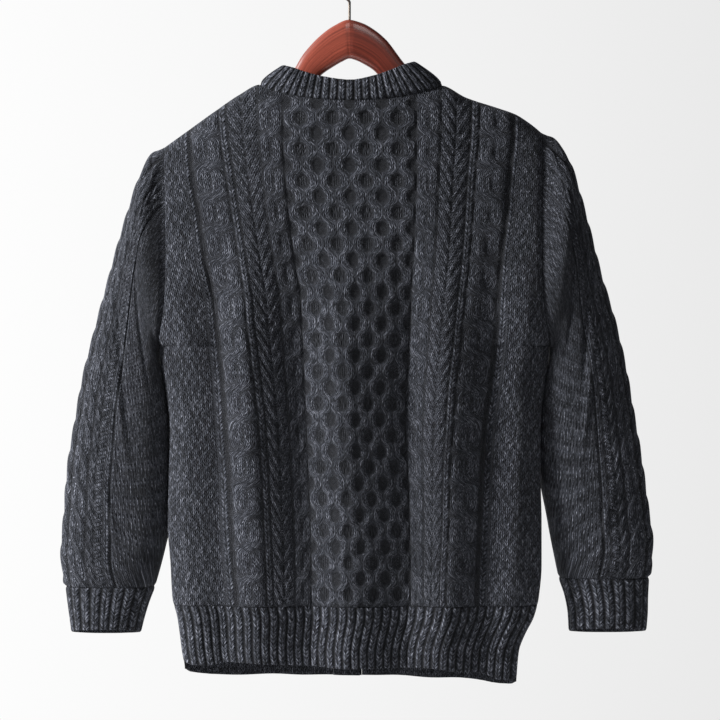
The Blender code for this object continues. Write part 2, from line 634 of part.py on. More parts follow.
def sleeve(name, table, x_column, sign, collection):
    shares = np.concatenate([[0, 0.012, 0.03, 0.055], np.linspace(0.08, 1.0, 27)])
    grid = []
    away = []
    for ring in sleeve_rings(table, x_column, sign, shares):
        points, distance = along_ring(ring, sleeve_columns)
        grid.append(points)
        away.append(distance)
    grid = np.array(grid)
    away = np.array(away)
    grid[-1, :, 2] += SEAM / 2
    normal = tube_normals(grid)
    normal[0] = flat_normals(grid[0], 0)
    normal[-1] = flat_normals(grid[-1], 2)
    steps = np.linalg.norm(np.diff(grid, axis=0), axis=-1)
    length = np.concatenate([np.zeros((1, grid.shape[1])), np.cumsum(steps, axis=0)])
    turn = 2 * math.pi * length / REPEAT
    height = np.zeros(away.shape)
    for centre, half, tall, rope in SLEEVE_CABLES:
        part = np.sqrt(np.clip(1 - ((away - centre * MM) / (half * MM)) ** 2, 0, 1))
        if rope:
            part = part * (0.76 + 0.24 * np.cos(turn + away / STITCH))
        height = np.maximum(height, tall * MM * part)
    fade = np.clip(length / 0.014, 0, 1) * np.clip((length[-1:] - length) / 0.008, 0, 1)
    outer = grid + normal * (height * fade)[..., None]
    rows = every(len(shares), 5, (3, 6, 8))
    columns = list(range(grid.shape[1]))
    inner = (grid - normal * wall_depth(grid))[rows]
    wall(name, outer, inner, rows, columns, True, collection)


def cuff(name, table, collection):
    grid = []
    count = 240
    total = 40
    for t in (0.0, 0.12, 1.0):
        row = [float(smooth(t, table[:, 0], table[:, k])) * MM for k in range(1, 6)]
        outer = np.array([row[0], row[3], row[2]])
        inner = np.array([row[1], row[3], row[2]])
        ring, along, side = ring_points((outer + inner) / 2, (outer - inner) / 2, row[4], 2.3, count)
        ring[:, 2] += side * CUFF_TILT * t
        closed = np.concatenate([ring, ring[:1]])
        length = np.concatenate([[0], np.cumsum(np.linalg.norm(np.diff(closed, axis=0), axis=1))])
        at = length[-1] * np.arange(total) / total
        grid.append(np.stack([np.interp(at, length, closed[:, k]) for k in range(3)], axis=-1))
    grid = np.array(grid)
    grid[0, :, 2] -= SEAM / 2
    normal = tube_normals(grid)
    normal[0] = flat_normals(grid[0], 2)
    ribs = np.where(np.arange(total) % 2 == 0, RIB_HEIGHT, 0.0)
    grow = np.array([0.0, 1.0, 0.8])
    outer = grid + normal * (grow[:, None] * ribs[None, :])[..., None]
    columns = list(range(0, total, 2))
    inner = (grid - normal * WALL)[:, columns]
    wall(name, outer, inner, [0, 1, 2], columns, True, collection)


def neck_line(panels):
    """The seam round the neck, from the left front edge round the back to the right front edge, with its normals."""
    points = []
    normals = []
    for name in ("left_front", "back", "right_front"):
        base, normal, on_shoulder = panels[name]
        row = base[0]
        up = normal[0]
        ends = (BACK_NECK[0, 0] - 1e-4, BACK_NECK[-1, 0] + 1e-4)
        inside = (row[:, 0] >= ends[0]) & (row[:, 0] <= ends[1])
        order = np.flatnonzero(inside)
        if name == "left_front":
            order = order[::-1]
        if name == "right_front":
            order = order[::-1]
        points.append(row[order])
        normals.append(up[order])
    return np.concatenate(points), np.concatenate(normals)


def neckband(panels, collection):
    seam, seam_normal = neck_line(panels)
    steps = np.linalg.norm(np.diff(seam, axis=0), axis=1)
    length = np.concatenate([[0], np.cumsum(steps)])
    ribs_wanted = np.arange(0, length[-1], RIB_PITCH / 2)
    kinks = length[1:-1]
    keep = [a for a in ribs_wanted if np.min(np.abs(kinks - a)) > 0.0018 and 0.002 < a < length[-1] - 0.002]
    at = np.unique(np.concatenate([[0], keep, kinks, [length[-1]]]))
    at = at[np.concatenate([[True], np.diff(at) > 0.0004])]
    low = np.stack([np.interp(at, length, seam[:, k]) for k in range(3)], axis=-1)
    low_normal = unit(np.stack([np.interp(at, length, seam_normal[:, k]) for k in range(3)], axis=-1))
    centre = length[np.argmin(np.abs(seam[:, 0]) + (seam[:, 1] > 0) * 10)]
    left_part = (at - centre) / centre
    right_part = (at - centre) / (length[-1] - centre)
    share = np.where(at < centre, left_part, right_part)
    high = np.stack([smooth(share, BAND_TOP[:, 0], BAND_TOP[:, k] * MM) for k in (1, 2, 3)], axis=-1)
    along = high - low
    flat = along - np.sum(along * low_normal, axis=1, keepdims=True) * low_normal
    flat[0, 0] = 0
    flat[-1, 0] = 0
    low = low + unit(flat) * SEAM
    rows = [low, low + 0.3 * (high - low), high]
    grid = np.array(rows)
    grid[:, 0, 0] = LEFT_FRONT_EDGE
    grid[:, -1, 0] = RIGHT_FRONT_EDGE
    swell = np.array([0.0, 0.0020, 0.0])
    across = np.empty_like(grid)
    across[:, 1:-1] = grid[:, 2:] - grid[:, :-2]
    across[:, 0] = grid[:, 1] - grid[:, 0]
    across[:, -1] = grid[:, -1] - grid[:, -2]
    down = np.repeat((low - high)[None], 3, axis=0)
    normal = unit(np.cross(down, across))
    if normal[2, len(at) // 2, 1] > 0:
        normal = -normal
    normal[1] = unit(normal[1] + low_normal)
    fade = np.clip(np.minimum(at, length[-1] - at) / 0.03, 0, 1)
    grid = grid + normal * (swell[:, None] * fade[None, :])[..., None]
    normal[0] = low_normal
    normal[:, 0, 0] = 0
    normal[:, -1, 0] = 0
    normal = unit(normal)
    grow = np.array([0.0, 1.0, 0.8])
    height = RIB_HEIGHT * rib(at)[None, :] * grow[:, None]
    outer = grid + normal * height[..., None]
    on_seam = [k for k, a in enumerate(at) if np.min(np.abs(length - a)) < 1e-7]
    inner = (grid - normal * WALL)[:, on_seam]
    wall("neckband", outer, inner, [0, 1, 2], on_seam, False, collection)


def front_band(name, places, step_down, collection):
    """A front band: columns at set x, from the top of the neckband to the hem, on the form of the fronts."""
    x = np.asarray(places, float)
    share = np.linspace(0, 1, 10)[:, None]
    hem = smooth(x, FRONT_HEM[:, 0], FRONT_HEM[:, 1])[None, :]
    z = -0.1902 + (hem + 0.1902) * share
    x = np.repeat(x[None, :], len(share), axis=0)
    y = front_y(x, z) - step_down(x)
    normal = body_normals(x, z, lambda a, b: front_y(a, b) - step_down(a), 1)
    normal[:, (0, -1), 0] = 0
    normal = unit(normal)
    outer = np.stack([x, y, z], axis=-1)
    inner = outer - normal * WALL
    rows = list(range(len(share)))
    wall(name, outer, inner, rows, list(range(x.shape[1])), False, collection)


def button(name, z, collection, cutters):
    """A round button with four holes, turned and then drilled, lying on the outer band."""
    profile = [(0.0, 0.0), (0.86, 0.0), (1.0, 0.40), (0.95, 1.0), (0.76, 0.94), (0.68, 0.62), (0.0, 0.62)]
    turns = 12
    points = [(0.0, 0.0, 0.0), (0.0, 0.0, profile[-1][1] * BUTTON_HEIGHT)]
    faces = []
    rings = profile[1:-1]
    for radius, high in rings:
        for k in range(turns):
            a = 2 * math.pi * k / turns
            points.append((radius * BUTTON_RADIUS * math.cos(a), radius * BUTTON_RADIUS * math.sin(a),
                           high * BUTTON_HEIGHT))
    for k in range(turns):
        n = (k + 1) % turns
        faces.append((0, 2 + n, 2 + k))
        for r in range(len(rings) - 1):
            a = 2 + r * turns
            faces.append((a + k, a + n, a + turns + n, a + turns + k))
        last = 2 + (len(rings) - 1) * turns
        faces.append((1, last + k, last + n))
    made = add_object(name, points, faces, collection, "dark_button")
    for k in range(4):
        a = math.pi / 4 + k * math.pi / 2
        hole = [(math.cos(a) * 0.0028 + 0.0009 * math.cos(2 * math.pi * j / 4 + 0.8),
                 math.sin(a) * 0.0028 + 0.0009 * math.sin(2 * math.pi * j / 4 + 0.8), h)
                for h in (-0.002, 0.006) for j in range(4)]
        sides = [(j, (j + 1) % 4, 4 + (j + 1) % 4, 4 + j) for j in range(4)]
        sides.append((3, 2, 1, 0))
        sides.append((4, 5, 6, 7))
        tool = add_object(name + "_hole_" + str(k), hole, sides, cutters, "dark_button")
        tool.hide_render = True
        tool.display_type = "WIRE"
        cut = made.modifiers.new("hole_" + str(k), "BOOLEAN")
        cut.operation = "DIFFERENCE"
        cut.solver = "EXACT"
        cut.object = tool
    apply_modifiers(made)
    e = 0.004
    slope = float(front_y(np.array(0.0), np.array(z + e)) - front_y(np.array(0.0), np.array(z - e))) / (2 * e)
    tilt = math.atan(slope)
    lift = 0.00035
    y0 = float(front_y(np.array(0.0), np.array(z)))
    for vertex in made.data.vertices:
        px, py, pz = vertex.co
        out = pz + lift
        up = py
        vertex.co = (px, y0 + out * math.cos(tilt) + up * math.sin(tilt),
                     z + up * math.cos(tilt) - out * math.sin(tilt))
    shape = bmesh.new()
    shape.from_mesh(made.data)
    bmesh.ops.recalc_face_normals(shape, faces=shape.faces)
    shape.to_mesh(made.data)
    shape.free()


def apply_modifiers(item):
    bpy.context.view_layer.update()
    shown = item.evaluated_get(bpy.context.evaluated_depsgraph_get())
    mesh = bpy.data.meshes.new_from_object(shown)
    item.modifiers.clear()
    old = item.data
    item.data = mesh
    bpy.data.meshes.remove(old)
    mesh.name = item.name


def hanger_wood(collection, cutters):
    turns = 10
    points = []
    faces = []
    rows = len(WOOD)
    ends = []
    for r, (top_x, top_z, low_x, low_z) in enumerate(WOOD):
        centre = np.array([(top_x + low_x) / 2, 0, (top_z + low_z) / 2])
        centre[1] = float(hanger_y(centre[0]))
        up = np.array([top_x - low_x, 0, top_z - low_z]) / 2
        thin = 0.86 if r in (0, rows - 1) else 1.0
        for k in range(turns):
            a = 2 * math.pi * k / turns
            c = math.copysign(abs(math.cos(a)) ** 0.72, math.cos(a))
            s = math.copysign(abs(math.sin(a)) ** 0.72, math.sin(a))
            points.append(centre + up * c * thin + np.array([0, s * WOOD_HALF * thin, 0]))
        ends.append(centre)
    for r in range(rows - 1):
        for k in range(turns):
            n = (k + 1) % turns
            faces.append((r * turns + k, r * turns + n, (r + 1) * turns + n, (r + 1) * turns + k))
    for r, way in ((0, -1), (rows - 1, 1)):
        reach = ends[r] + (ends[r] - ends[r - way]) * 0.12
        tip = len(points)
        points.append(reach)
        for k in range(turns):
            faces.append((r * turns + k, r * turns + (k + 1) % turns, tip))
    made = add_object("hanger_wood", points, faces, collection, "stained_wood")
    hole = [(0.0019 * math.cos(2 * math.pi * j / 12), 0.0019 * math.sin(2 * math.pi * j / 12), h)
            for h in (-0.050, -0.0765) for j in range(12)]
    sides = [(j, (j + 1) % 12, 12 + (j + 1) % 12, 12 + j) for j in range(12)]
    sides.append(tuple(range(11, -1, -1)))
    sides.append(tuple(range(12, 24)))
    tool = add_object("hook_hole", hole, sides, cutters, "stained_wood")
    tool.hide_render = True
    tool.display_type = "WIRE"
    cut = made.modifiers.new("hook_hole", "BOOLEAN")
    cut.operation = "DIFFERENCE"
    cut.solver = "EXACT"
    cut.object = tool
    apply_modifiers(made)


def hanger_hook(collection):
    """A wire crook whose inside top is the origin, then a straight stem into the wood."""
    centre_z = -0.0190
    path = []
    for k in range(19):
        a = math.radians(-28 + 243 * k / 18)
        path.append((CROOK_RADIUS * math.cos(a), 0.0, centre_z + CROOK_RADIUS * math.sin(a)))
    end = path[-1]
    for k in range(1, 6):
        t = k / 5
        ease = t * t * (3 - 2 * t)
        path.append((end[0] * (1 - ease) ** 1.2, 0.0, end[2] + (-0.0440 - end[2]) * t))
    path.append((0.0, 0.0, -0.0500))
    path.append((0.0, 0.0, -0.0755))
    curve = bpy.data.curves.new("hanger_hook", "CURVE")
    curve.dimensions = "3D"
    curve.bevel_depth = WIRE_RADIUS
    curve.bevel_resolution = 2
    curve.use_fill_caps = True
    line = curve.splines.new("POLY")
    line.points.add(len(path) - 1)
    for point, place in zip(line.points, path):
        point.co = (*place, 1.0)
    made = bpy.data.objects.new("hanger_hook", curve)
    curve.materials.append(material("hanger_hook", "steel_wire"))
    collection.objects.link(made)


def main():
    clear_scene()
    parts = new_collection("cardigan_on_hanger")
    cutters = new_collection("cutters")
    cutters.hide_render = True

    half = [2, 4, 6, 8, 10, 12, 14, 16, 16.9, 20, 23.6, 27.5, 31.6, 33, 34.6, 37.0, 41.0, 43.8, 46,
            46.5, 46.82, 46.97, 47]
    left = [-p for p in half[::-1]]
    right = list(half)
    left[left.index(-23.6)] = -22.9
    left.insert(left.index(-20), -21.7)
    right[right.index(23.6)] = 23.94
    right.insert(right.index(23.94), 22.7)
    places = left + [0] + right
    panels = {}
    panels["back"] = panel("back", places, BACK_NECK, -1, 11, 1.4, (11, 25, REPEAT / 3), 2,
                           (4, (2, 22, 23)), parts)
    side = [16, 16.9, 20, 21.4, 22.4, 23.6, 27.5, 31.6, 33, 34.6, 39, 43.6, 46, 46.45, 46.85, 46.97, 47]
    front = [0, 5.5, 11] + side
    right_front = [p if p != 23.6 else 23.94 for p in front]
    left_front = [-p if p != 23.6 else -22.9 for p in front][::-1]
    left_front = [-0.0 if p == 0 else p for p in left_front]
    for name, row in (("left_front", left_front), ("right_front", right_front)):
        row = [(-1e-9 if "left" in name else 1e-9) if p == 0 else p for p in row]
        panels[name] = panel(name, row, FRONT_NECK, 1, 8, 1.4, (8, 19, 0.0150), 2, (4, (2, 16, 17)), parts)

    left_edge = lambda z: body_line(z, 1)
    right_edge = lambda z: body_line(z, 8)
    welt("back_welt", left_edge, right_edge, BACK_HEM, -1, parts)
    welt("left_front_welt", left_edge, lambda z: LEFT_FRONT_EDGE + 0 * z, FRONT_HEM, 1, parts)
    welt("right_front_welt", lambda z: RIGHT_FRONT_EDGE + 0 * z, right_edge, FRONT_HEM, 1, parts)

    sleeve("left_sleeve", LEFT_SLEEVE, 1, -1, parts)
    sleeve("right_sleeve", RIGHT_SLEEVE, 8, 1, parts)
    cuff("left_cuff", LEFT_CUFF, parts)
    cuff("right_cuff", RIGHT_CUFF, parts)
    neckband(panels, parts)

    front_band("buttonhole_band", (OUTER_BAND[0], -0.0065, 0.0, 0.0065, OUTER_BAND[1]), lambda x: 0 * x, parts)
    step = lambda x: STEP_DOWN * np.clip((x - INNER_BAND[0]) / 0.0035, 0, 1)
    front_band("button_band", (INNER_BAND[0], -0.0140, 0.0, INNER_BAND[1]), step, parts)
    for k, z in enumerate(BUTTON_ROWS):
        button("button_" + str(k + 1), z, parts, cutters)

    hanger_wood(parts, cutters)
    hanger_hook(parts)
    for tool in list(cutters.objects):
        bpy.data.objects.remove(tool, do_unlink=True)


main()
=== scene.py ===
# A charcoal heather cable-knit cardigan on a wooden hanger, seen from the back.
# The back faces -Y, the buttoned fronts face +Y, and the hanger's hook is held at the origin.
import math

import bmesh
import bpy
import numpy as np
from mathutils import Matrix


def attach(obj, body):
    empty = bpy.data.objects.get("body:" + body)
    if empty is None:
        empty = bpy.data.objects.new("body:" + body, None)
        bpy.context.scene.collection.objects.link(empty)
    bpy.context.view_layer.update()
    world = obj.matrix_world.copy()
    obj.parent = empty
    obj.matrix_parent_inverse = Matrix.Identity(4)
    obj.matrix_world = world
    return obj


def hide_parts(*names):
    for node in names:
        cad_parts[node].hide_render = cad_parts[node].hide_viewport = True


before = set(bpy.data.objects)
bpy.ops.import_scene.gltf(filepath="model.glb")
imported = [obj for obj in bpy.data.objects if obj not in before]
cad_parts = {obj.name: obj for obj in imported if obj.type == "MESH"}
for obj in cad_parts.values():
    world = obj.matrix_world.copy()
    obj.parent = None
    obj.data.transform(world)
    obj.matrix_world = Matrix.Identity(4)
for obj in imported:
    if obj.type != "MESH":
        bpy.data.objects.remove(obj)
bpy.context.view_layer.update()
mm = 0.001

# level with the garment's middle, and about 770 mm wide there
view = {"distance": 2.60, "x": 0.0112, "z": -0.4258, "lens": 121.6}

cameraData = bpy.data.cameras.new("camera")
cameraData.lens = view["lens"]
camera = bpy.data.objects.new("camera", cameraData)
camera.location = (view["x"], -view["distance"], view["z"])
camera.rotation_euler = (math.radians(90), 0, 0)
bpy.context.scene.collection.objects.link(camera)
bpy.context.scene.camera = camera


# Small helpers

def hexColour(text, alpha=1.0):
    # sRGB hex to linear: each channel c becomes ((c + 0.055) / 1.055) ^ 2.4
    values = [int(text[k:k + 2], 16) / 255 for k in (1, 3, 5)]
    linear = [c / 12.92 if c < 0.04045 else ((c + 0.055) / 1.055) ** 2.4 for c in values]
    return (*linear, alpha)


def smooth(at, keys, values):
    # a cubic through the table's rows that never overshoots them
    keys = np.asarray(keys, float)
    values = np.asarray(values, float)
    step = np.diff(keys)
    slope = np.diff(values) / step
    product = slope[1:] * slope[:-1]
    tangent = np.zeros(len(keys))
    same = product > 0
    tangent[1:-1][same] = 2 * product[same] / (slope[1:] + slope[:-1])[same]
    tangent[0] = slope[0]
    tangent[-1] = slope[-1]
    at = np.clip(at, keys[0], keys[-1])
    k = np.clip(np.searchsorted(keys, at, side="right") - 1, 0, len(keys) - 2)
    t = (at - keys[k]) / step[k]
    start = values[k] * (1 + 2 * t) * (1 - t) ** 2 + tangent[k] * step[k] * t * (1 - t) ** 2
    return start + values[k + 1] * t * t * (3 - 2 * t) + tangent[k + 1] * step[k] * t * t * (t - 1)


def fadeIn(distance, over):
    # 0 at an edge, rising straight to 1 over a length
    return np.clip(distance / over, 0, 1)


def ease(t):
    # 0 to 1 with level ends: 3t^2 - 2t^3
    t = np.clip(t, 0, 1)
    return t * t * (3 - 2 * t)


def unit(vectors):
    # each vector over its own length
    return vectors / np.maximum(np.linalg.norm(vectors, axis=-1, keepdims=True), 1e-12)


def runLength(points, axis=0):
    # how far along its row or column each point is: the sum of the steps up to it
    steps = np.linalg.norm(np.diff(points, axis=axis), axis=-1)
    start = np.zeros_like(np.take(steps, [0], axis=axis))
    return np.concatenate([start, np.cumsum(steps, axis=axis)], axis=axis)


def superellipse(count, power):
    # cosines and sines of the angles round a ring, each to a power with its sign kept
    angle = 2 * math.pi * np.arange(count) / count
    return [np.sign(wave) * np.abs(wave) ** power for wave in (np.cos(angle), np.sin(angle))]


def addNode(tree, kind, settings=None, links=None):
    # one node, its settings, a ramp's stops as (place, hex colour), and its links as {socket: value or
    # (node, output)}
    node = tree.nodes.new(kind)
    for key, value in (settings or {}).items():
        if key != "stops":
            setattr(node, key, value)
            continue
        stops = node.color_ramp.elements
        stops[1].position = value[-1][0]
        stops[0].position = value[0][0]
        for place, colour in value[1:-1]:
            stops.new(place)
        for stop, (place, colour) in zip(stops, value):
            stop.color = hexColour(colour)
    for socket, source in (links or {}).items():
        if isinstance(source, tuple) and isinstance(source[0], bpy.types.Node):
            tree.links.new(source[0].outputs[source[1]], node.inputs[socket])
        else:
            node.inputs[socket].default_value = source
    return node


# The body's form, as the solids have it. combEdge and lastRib count stitches from the middle of the back

body = {
    "underarm": -0.4098, "armHalf": 0.0115, "armDrop": 0.0140, "backSpread": 0.0250, "frontSpread": 0.0300,
    "spreadDrop": 0.10, "lowFrom": -0.55, "lowOver": 0.20, "lowLess": 0.18, "sidePower": 2.6,
    "middleY": 0.0100, "sweep": 0.0230, "sweepReach": 0.20, "sweepPower": 1.6, "leanDrop": 0.12,
    "armholeRound": 0.0600, "armholeShare": 0.86, "wall": 0.0026, "underarmThin": 0.6, "underarmReach": 0.020,
    "seam": 0.0003, "stitch": 0.00435, "repeat": 0.0337, "combEdge": 16, "lastRib": 46,
    "leftFrontEdge": -0.0178, "rightFrontEdge": 0.0133, "weltMiddle": -0.72,
}
body["weltTop"] = body["underarm"] - 33 * body["repeat"] / 4
rowHeight = body["repeat"] / 8

# Each row: z, x of the left edge, of stitches 46, 33 and 16 left, of stitches 16, 33 and 46 right, of the
# right edge
bodyLines = np.array([
    (-140, -200, -177, -138, -69, 69, 135, 181, 207),
    (-180, -200, -177, -135, -69, 69, 134, 181, 207),
    (-225, -199, -174, -128, -67, 69, 130, 177, 207),
    (-270, -197, -166, -121, -63, 68, 127, 173, 205),
    (-320, -196, -159, -113, -57, 66, 123, 167, 205),
    (-362, -197, -149, -107, -50, 64, 118, 164, 207),
    (-388, -201, -146, -105, -49, 63, 115, 163, 210),
    (-410, -205, -144, -102, -48, 62, 113, 161, 214),
    (-428, -203, -142, -100, -47, 61, 111, 159, 213),
    (-453, -198, -140, -97, -46, 59, 108, 156, 209),
    (-500, -193, -137, -92, -44, 58, 105, 149, 205),
    (-550, -194, -133, -89, -42, 61, 102, 146, 205),
    (-600, -195, -131, -87, -40, 63, 101, 144, 206),
    (-645, -192, -128, -85, -39, 64, 99, 142, 206),
    (-680, -190, -125, -84, -39, 64, 98, 141, 203),
    (-700, -185, -125, -84, -39, 64, 98, 141, 198),
    (-720, -182, -125, -84, -39, 64, 98, 141, 188),
    (-736, -180, -125, -84, -39, 64, 98, 141, 182),
    (-754, -177, -125, -84, -39, 64, 98, 141, 180),
    (-770, -176, -125, -84, -39, 64, 98, 141, 179),
], float)[::-1] * mm

# x and z along the shoulders, the neck seams and the hems
shoulders = np.array([(-199.6, -196.8), (-174.9, -179.7), (-145.0, -158.9), (-118.2, -141.2), (-96.8, -130.5),
                      (-53.0, -127.3), (0.5, -126.2), (54.0, -127.3), (100.0, -131.6), (124.7, -144.0),
                      (160.0, -155.1), (177.7, -160.9), (195.3, -171.6), (207.0, -180.8)]) * mm
backNeck = np.array([(-96.8, -130.5), (-91.5, -134.8), (-79.7, -139.6), (-53.0, -145.5), (-26.2, -148.5),
                     (0.5, -149.7), (27.3, -148.7), (54.0, -145.5), (80.8, -139.6), (94.6, -135.0),
                     (100.0, -131.6)]) * mm
frontNeck = np.array([(-96.8, -130.5), (-93.6, -143.3), (-87.2, -158.3), (-74.4, -179.7), (-53.0, -200.0),
                      (-26.2, -210.7), (-0.5, -213.9), (27.3, -210.7), (54.0, -200.0), (76.5, -179.7),
                      (89.8, -158.3), (96.8, -143.3), (100.0, -131.6)]) * mm
backHem = np.array([(-182, -746), (-166, -751), (-150, -751), (-129, -747), (-73, -749), (-5, -753),
                    (86, -753), (118, -757), (140, -759), (164, -767), (173, -767), (185, -760)], float) * mm
frontHem = np.array([(-182, -751), (-171, -762), (-150, -766), (-12, -768), (60, -769), (86, -770),
                     (140, -772), (164, -775), (173, -775), (185, -764)], float) * mm

# What shapes the folds: where they slide from and over what length, where they fade in from below the
# shoulders, the valleys' power, the least width between two folds, the rims at the sides, and how sharp the
# valleys are
folding = {"from": -0.300, "over": 0.400, "fadeFrom": -0.220, "fadeOver": 0.280, "valley": 1.4, "least": 0.004,
           "rim": 0.001, "sideFade": 0.020, "backSharp": 0.45, "frontSharp": 0.0}

# Hanging folds: x at z -300 mm, x at z -700 mm, and how far the fold stands out or falls in
backFolds = np.array([(-180, -170, 3), (-150, -134, -5), (-117, -100, 6), (-54, -42, -10), (-8, -2, 5),
                      (64, 61, -11), (112, 102, 7), (156, 138, -7), (190, 174, 4)], float) * mm
frontFolds = np.array([(-172, -162, 4), (-132, -122, -6), (-92, -84, 5), (-52, -50, -4), (-26, -26, 0),
                       (26, 26, 0), (58, 52, 5), (94, 88, -6), (134, 122, 5), (168, 158, -4)], float) * mm

# Small creases: x and z of one end, x and z of the other, half width, height, in mm
backCreases = np.array([(-196, -395, -150, -520, 10, -2.2), (-190, -350, -160, -440, 8, 1.4),
                        (204, -395, 176, -500, 10, -2.0), (198, -330, 186, -430, 9, 1.5),
                        (-150, -200, -176, -330, 12, -1.6), (158, -185, 186, -300, 12, -1.8),
                        (-64, -250, -47, -660, 17, -4.5), (-112, -240, -104, -640, 12, 2.6),
                        (63, -280, 62, -650, 13, -3.6), (-6, -300, -4, -640, 13, 1.8),
                        (98, -260, 90, -620, 14, 2.4),
                        (-142, -280, -134, -640, 10, -2.2), (150, -260, 140, -600, 11, -2.2),
                        (-60, -640, -70, -690, 10, 1.0), (86, -560, 70, -660, 9, -1.2)], float) * mm
frontCreases = np.array([(-196, -400, -140, -540, 11, -2.2), (202, -400, 150, -520, 10, -2.0),
                         (-120, -205, -170, -330, 12, -1.6), (122, -215, 176, -360, 12, -1.8),
                         (-80, -600, -66, -690, 10, 1.2)], float) * mm


def bodyLine(z, column):
    # x of one of the table's lines at a height
    return smooth(z, bodyLines[:, 0], bodyLines[:, column])


def shoulderZ(x):
    # height of the shoulder line, which runs straight on across the neck
    return smooth(x, shoulders[:, 0], shoulders[:, 1])


def hangerY(x):
    # the hanger's arms reach forward as (|x| / 200 mm) ^ 1.6
    return body["sweep"] * (np.abs(x) / body["sweepReach"]) ** body["sweepPower"]


def middleY(x, z):
    # on the hanger's arms at the shoulder, easing to one plane below by exp(-drop / 120 mm)
    lean = np.exp(-np.maximum(shoulderZ(x) - z, 0) / body["leanDrop"])
    return body["middleY"] + (hangerY(x) - body["middleY"]) * lean


def halfDepth(x, z, spread):
    # round over the arm, then wider by spread * (1 - exp(-drop / 100 mm)), up to 18 percent less from 550
    # mm down, closing to the sides on a superellipse
    drop = np.maximum(shoulderZ(x) - z, 0)
    over = 1 - fadeIn(drop, body["armDrop"])
    low = 1 - body["lowLess"] * fadeIn(body["lowFrom"] - z, body["lowOver"])
    depth = body["armHalf"] * np.sqrt(1 - over ** 2) + spread * (1 - np.exp(-drop / body["spreadDrop"])) * low
    left = bodyLine(z, 1)
    right = bodyLine(z, 8)
    across = np.clip(np.abs(2 * x - left - right) / (right - left), 0, 1)
    rise = fadeIn(z - body["underarm"], body["armholeRound"])
    edge = body["armholeShare"] * np.sqrt(1 - (1 - rise) ** 2)
    return depth * (edge + (1 - edge) * (1 - across ** body["sidePower"]) ** (1 / body["sidePower"]))


def foldHeight(x, z, folds, creases, sharp):
    # hanging folds: from one height to the next by a mix of 3t^2 - 2t^3 and t^1.4, which is round on the
    # ridge and sharp in the valley, each place sliding down the body, deeper lower down; creases: a ridge
    # along a line, exp(-(distance / width)^2), fading to both ends
    down = np.clip((folding["from"] - z) / folding["over"], -0.3, 1.2)
    left = bodyLine(z, 1)
    right = bodyLine(z, 8)
    places = [left + folding["rim"]] + [a + (b - a) * down for a, b, tall in folds] + [right - folding["rim"]]
    heights = [0.0] + [tall for a, b, tall in folds] + [0.0]
    total = np.zeros(np.broadcast(x, z).shape)
    for k in range(len(heights) - 1):
        t = fadeIn(x - places[k], np.maximum(places[k + 1] - places[k], folding["least"]))
        falls = heights[k + 1] < heights[k]
        steep = t ** folding["valley"] if falls else 1 - (1 - t) ** folding["valley"]
        total += (heights[k + 1] - heights[k]) * (ease(t) + (steep - ease(t)) * sharp)
    total = total * ease((folding["fadeFrom"] - z) / folding["fadeOver"])
    for x0, z0, x1, z1, wide, tall in creases:
        along = ((x - x0) * (x1 - x0) + (z - z0) * (z1 - z0)) / ((x1 - x0) ** 2 + (z1 - z0) ** 2)
        away = np.hypot(x - x0 - along * (x1 - x0), z - z0 - along * (z1 - z0))
        fade = np.clip(4 * along * (1 - along), 0, 1)
        total += tall * np.exp(-(away / wide) ** 2) * fade
    return total * fadeIn(np.minimum(x - left, right - x), folding["sideFade"])


def panelY(x, z, side):
    # the back's or the fronts' surface: the middle plane, plus or minus the half depth and the folds
    if side < 0:
        depth = halfDepth(x, z, body["backSpread"])
        stands = foldHeight(x, z, backFolds, backCreases, folding["backSharp"])
    else:
        depth = halfDepth(x, z, body["frontSpread"])
        stands = foldHeight(x, z, frontFolds, frontCreases, folding["frontSharp"])
    return middleY(x, z) + side * (depth + stands)


def panelNormals(x, z, side, step=0.0004):
    # outward normals from the slopes of y(x, z)
    slopeX = (panelY(x + step, z, side) - panelY(x - step, z, side)) / (2 * step)
    slopeZ = (panelY(x, z + step, side) - panelY(x, z - step, side)) / (2 * step)
    return unit(np.stack([-side * slopeX, side * np.ones_like(slopeX), -side * slopeZ], axis=-1))


# The knitted patterns: each gives height in metres, and stitch coordinates a across and b along a strand

pattern = {
    "bodyCables": (("rope", 20.0, 3.3, 2.5), ("wheat", 27.5, 4.2, 2.1), ("rib", 33.0, 1.1, 1.4),
                   ("rope", 39.0, 4.6, 2.9), ("rib", 46.0, 1.1, 1.3)),
    "sleeveCables": (("rope", 0.0, 4.0, 3.6), ("rope", 7.15, 2.6, 2.8), ("wheat", 12.0, 2.3, 2.0),
                     ("rib", 15.1, 0.9, 1.5)),
    "bodyMossFrom": 47.4, "sleeveMossFrom": 16.4, "mossHeight": 1.2, "combHeight": 2.2, "combHalf": 1.66,
    "ribPitch": 0.0088, "ribHeight": 0.0016,
}


def takeHigher(found, *fields):
    # height, a and b of the stitches, and inner, a painted shade: 1 on a strand, down to 0 in the dark
    # furrow at its edge
    higher = fields[0] > found[0]
    return [np.where(higher, new, old) for new, old in zip(fields, found)]


def innerPart(across, soft=0.42):
    # how far inside a strand a point is: 1 - |across| over soft, eased
    return ease((1.04 - np.abs(across)) / soft)


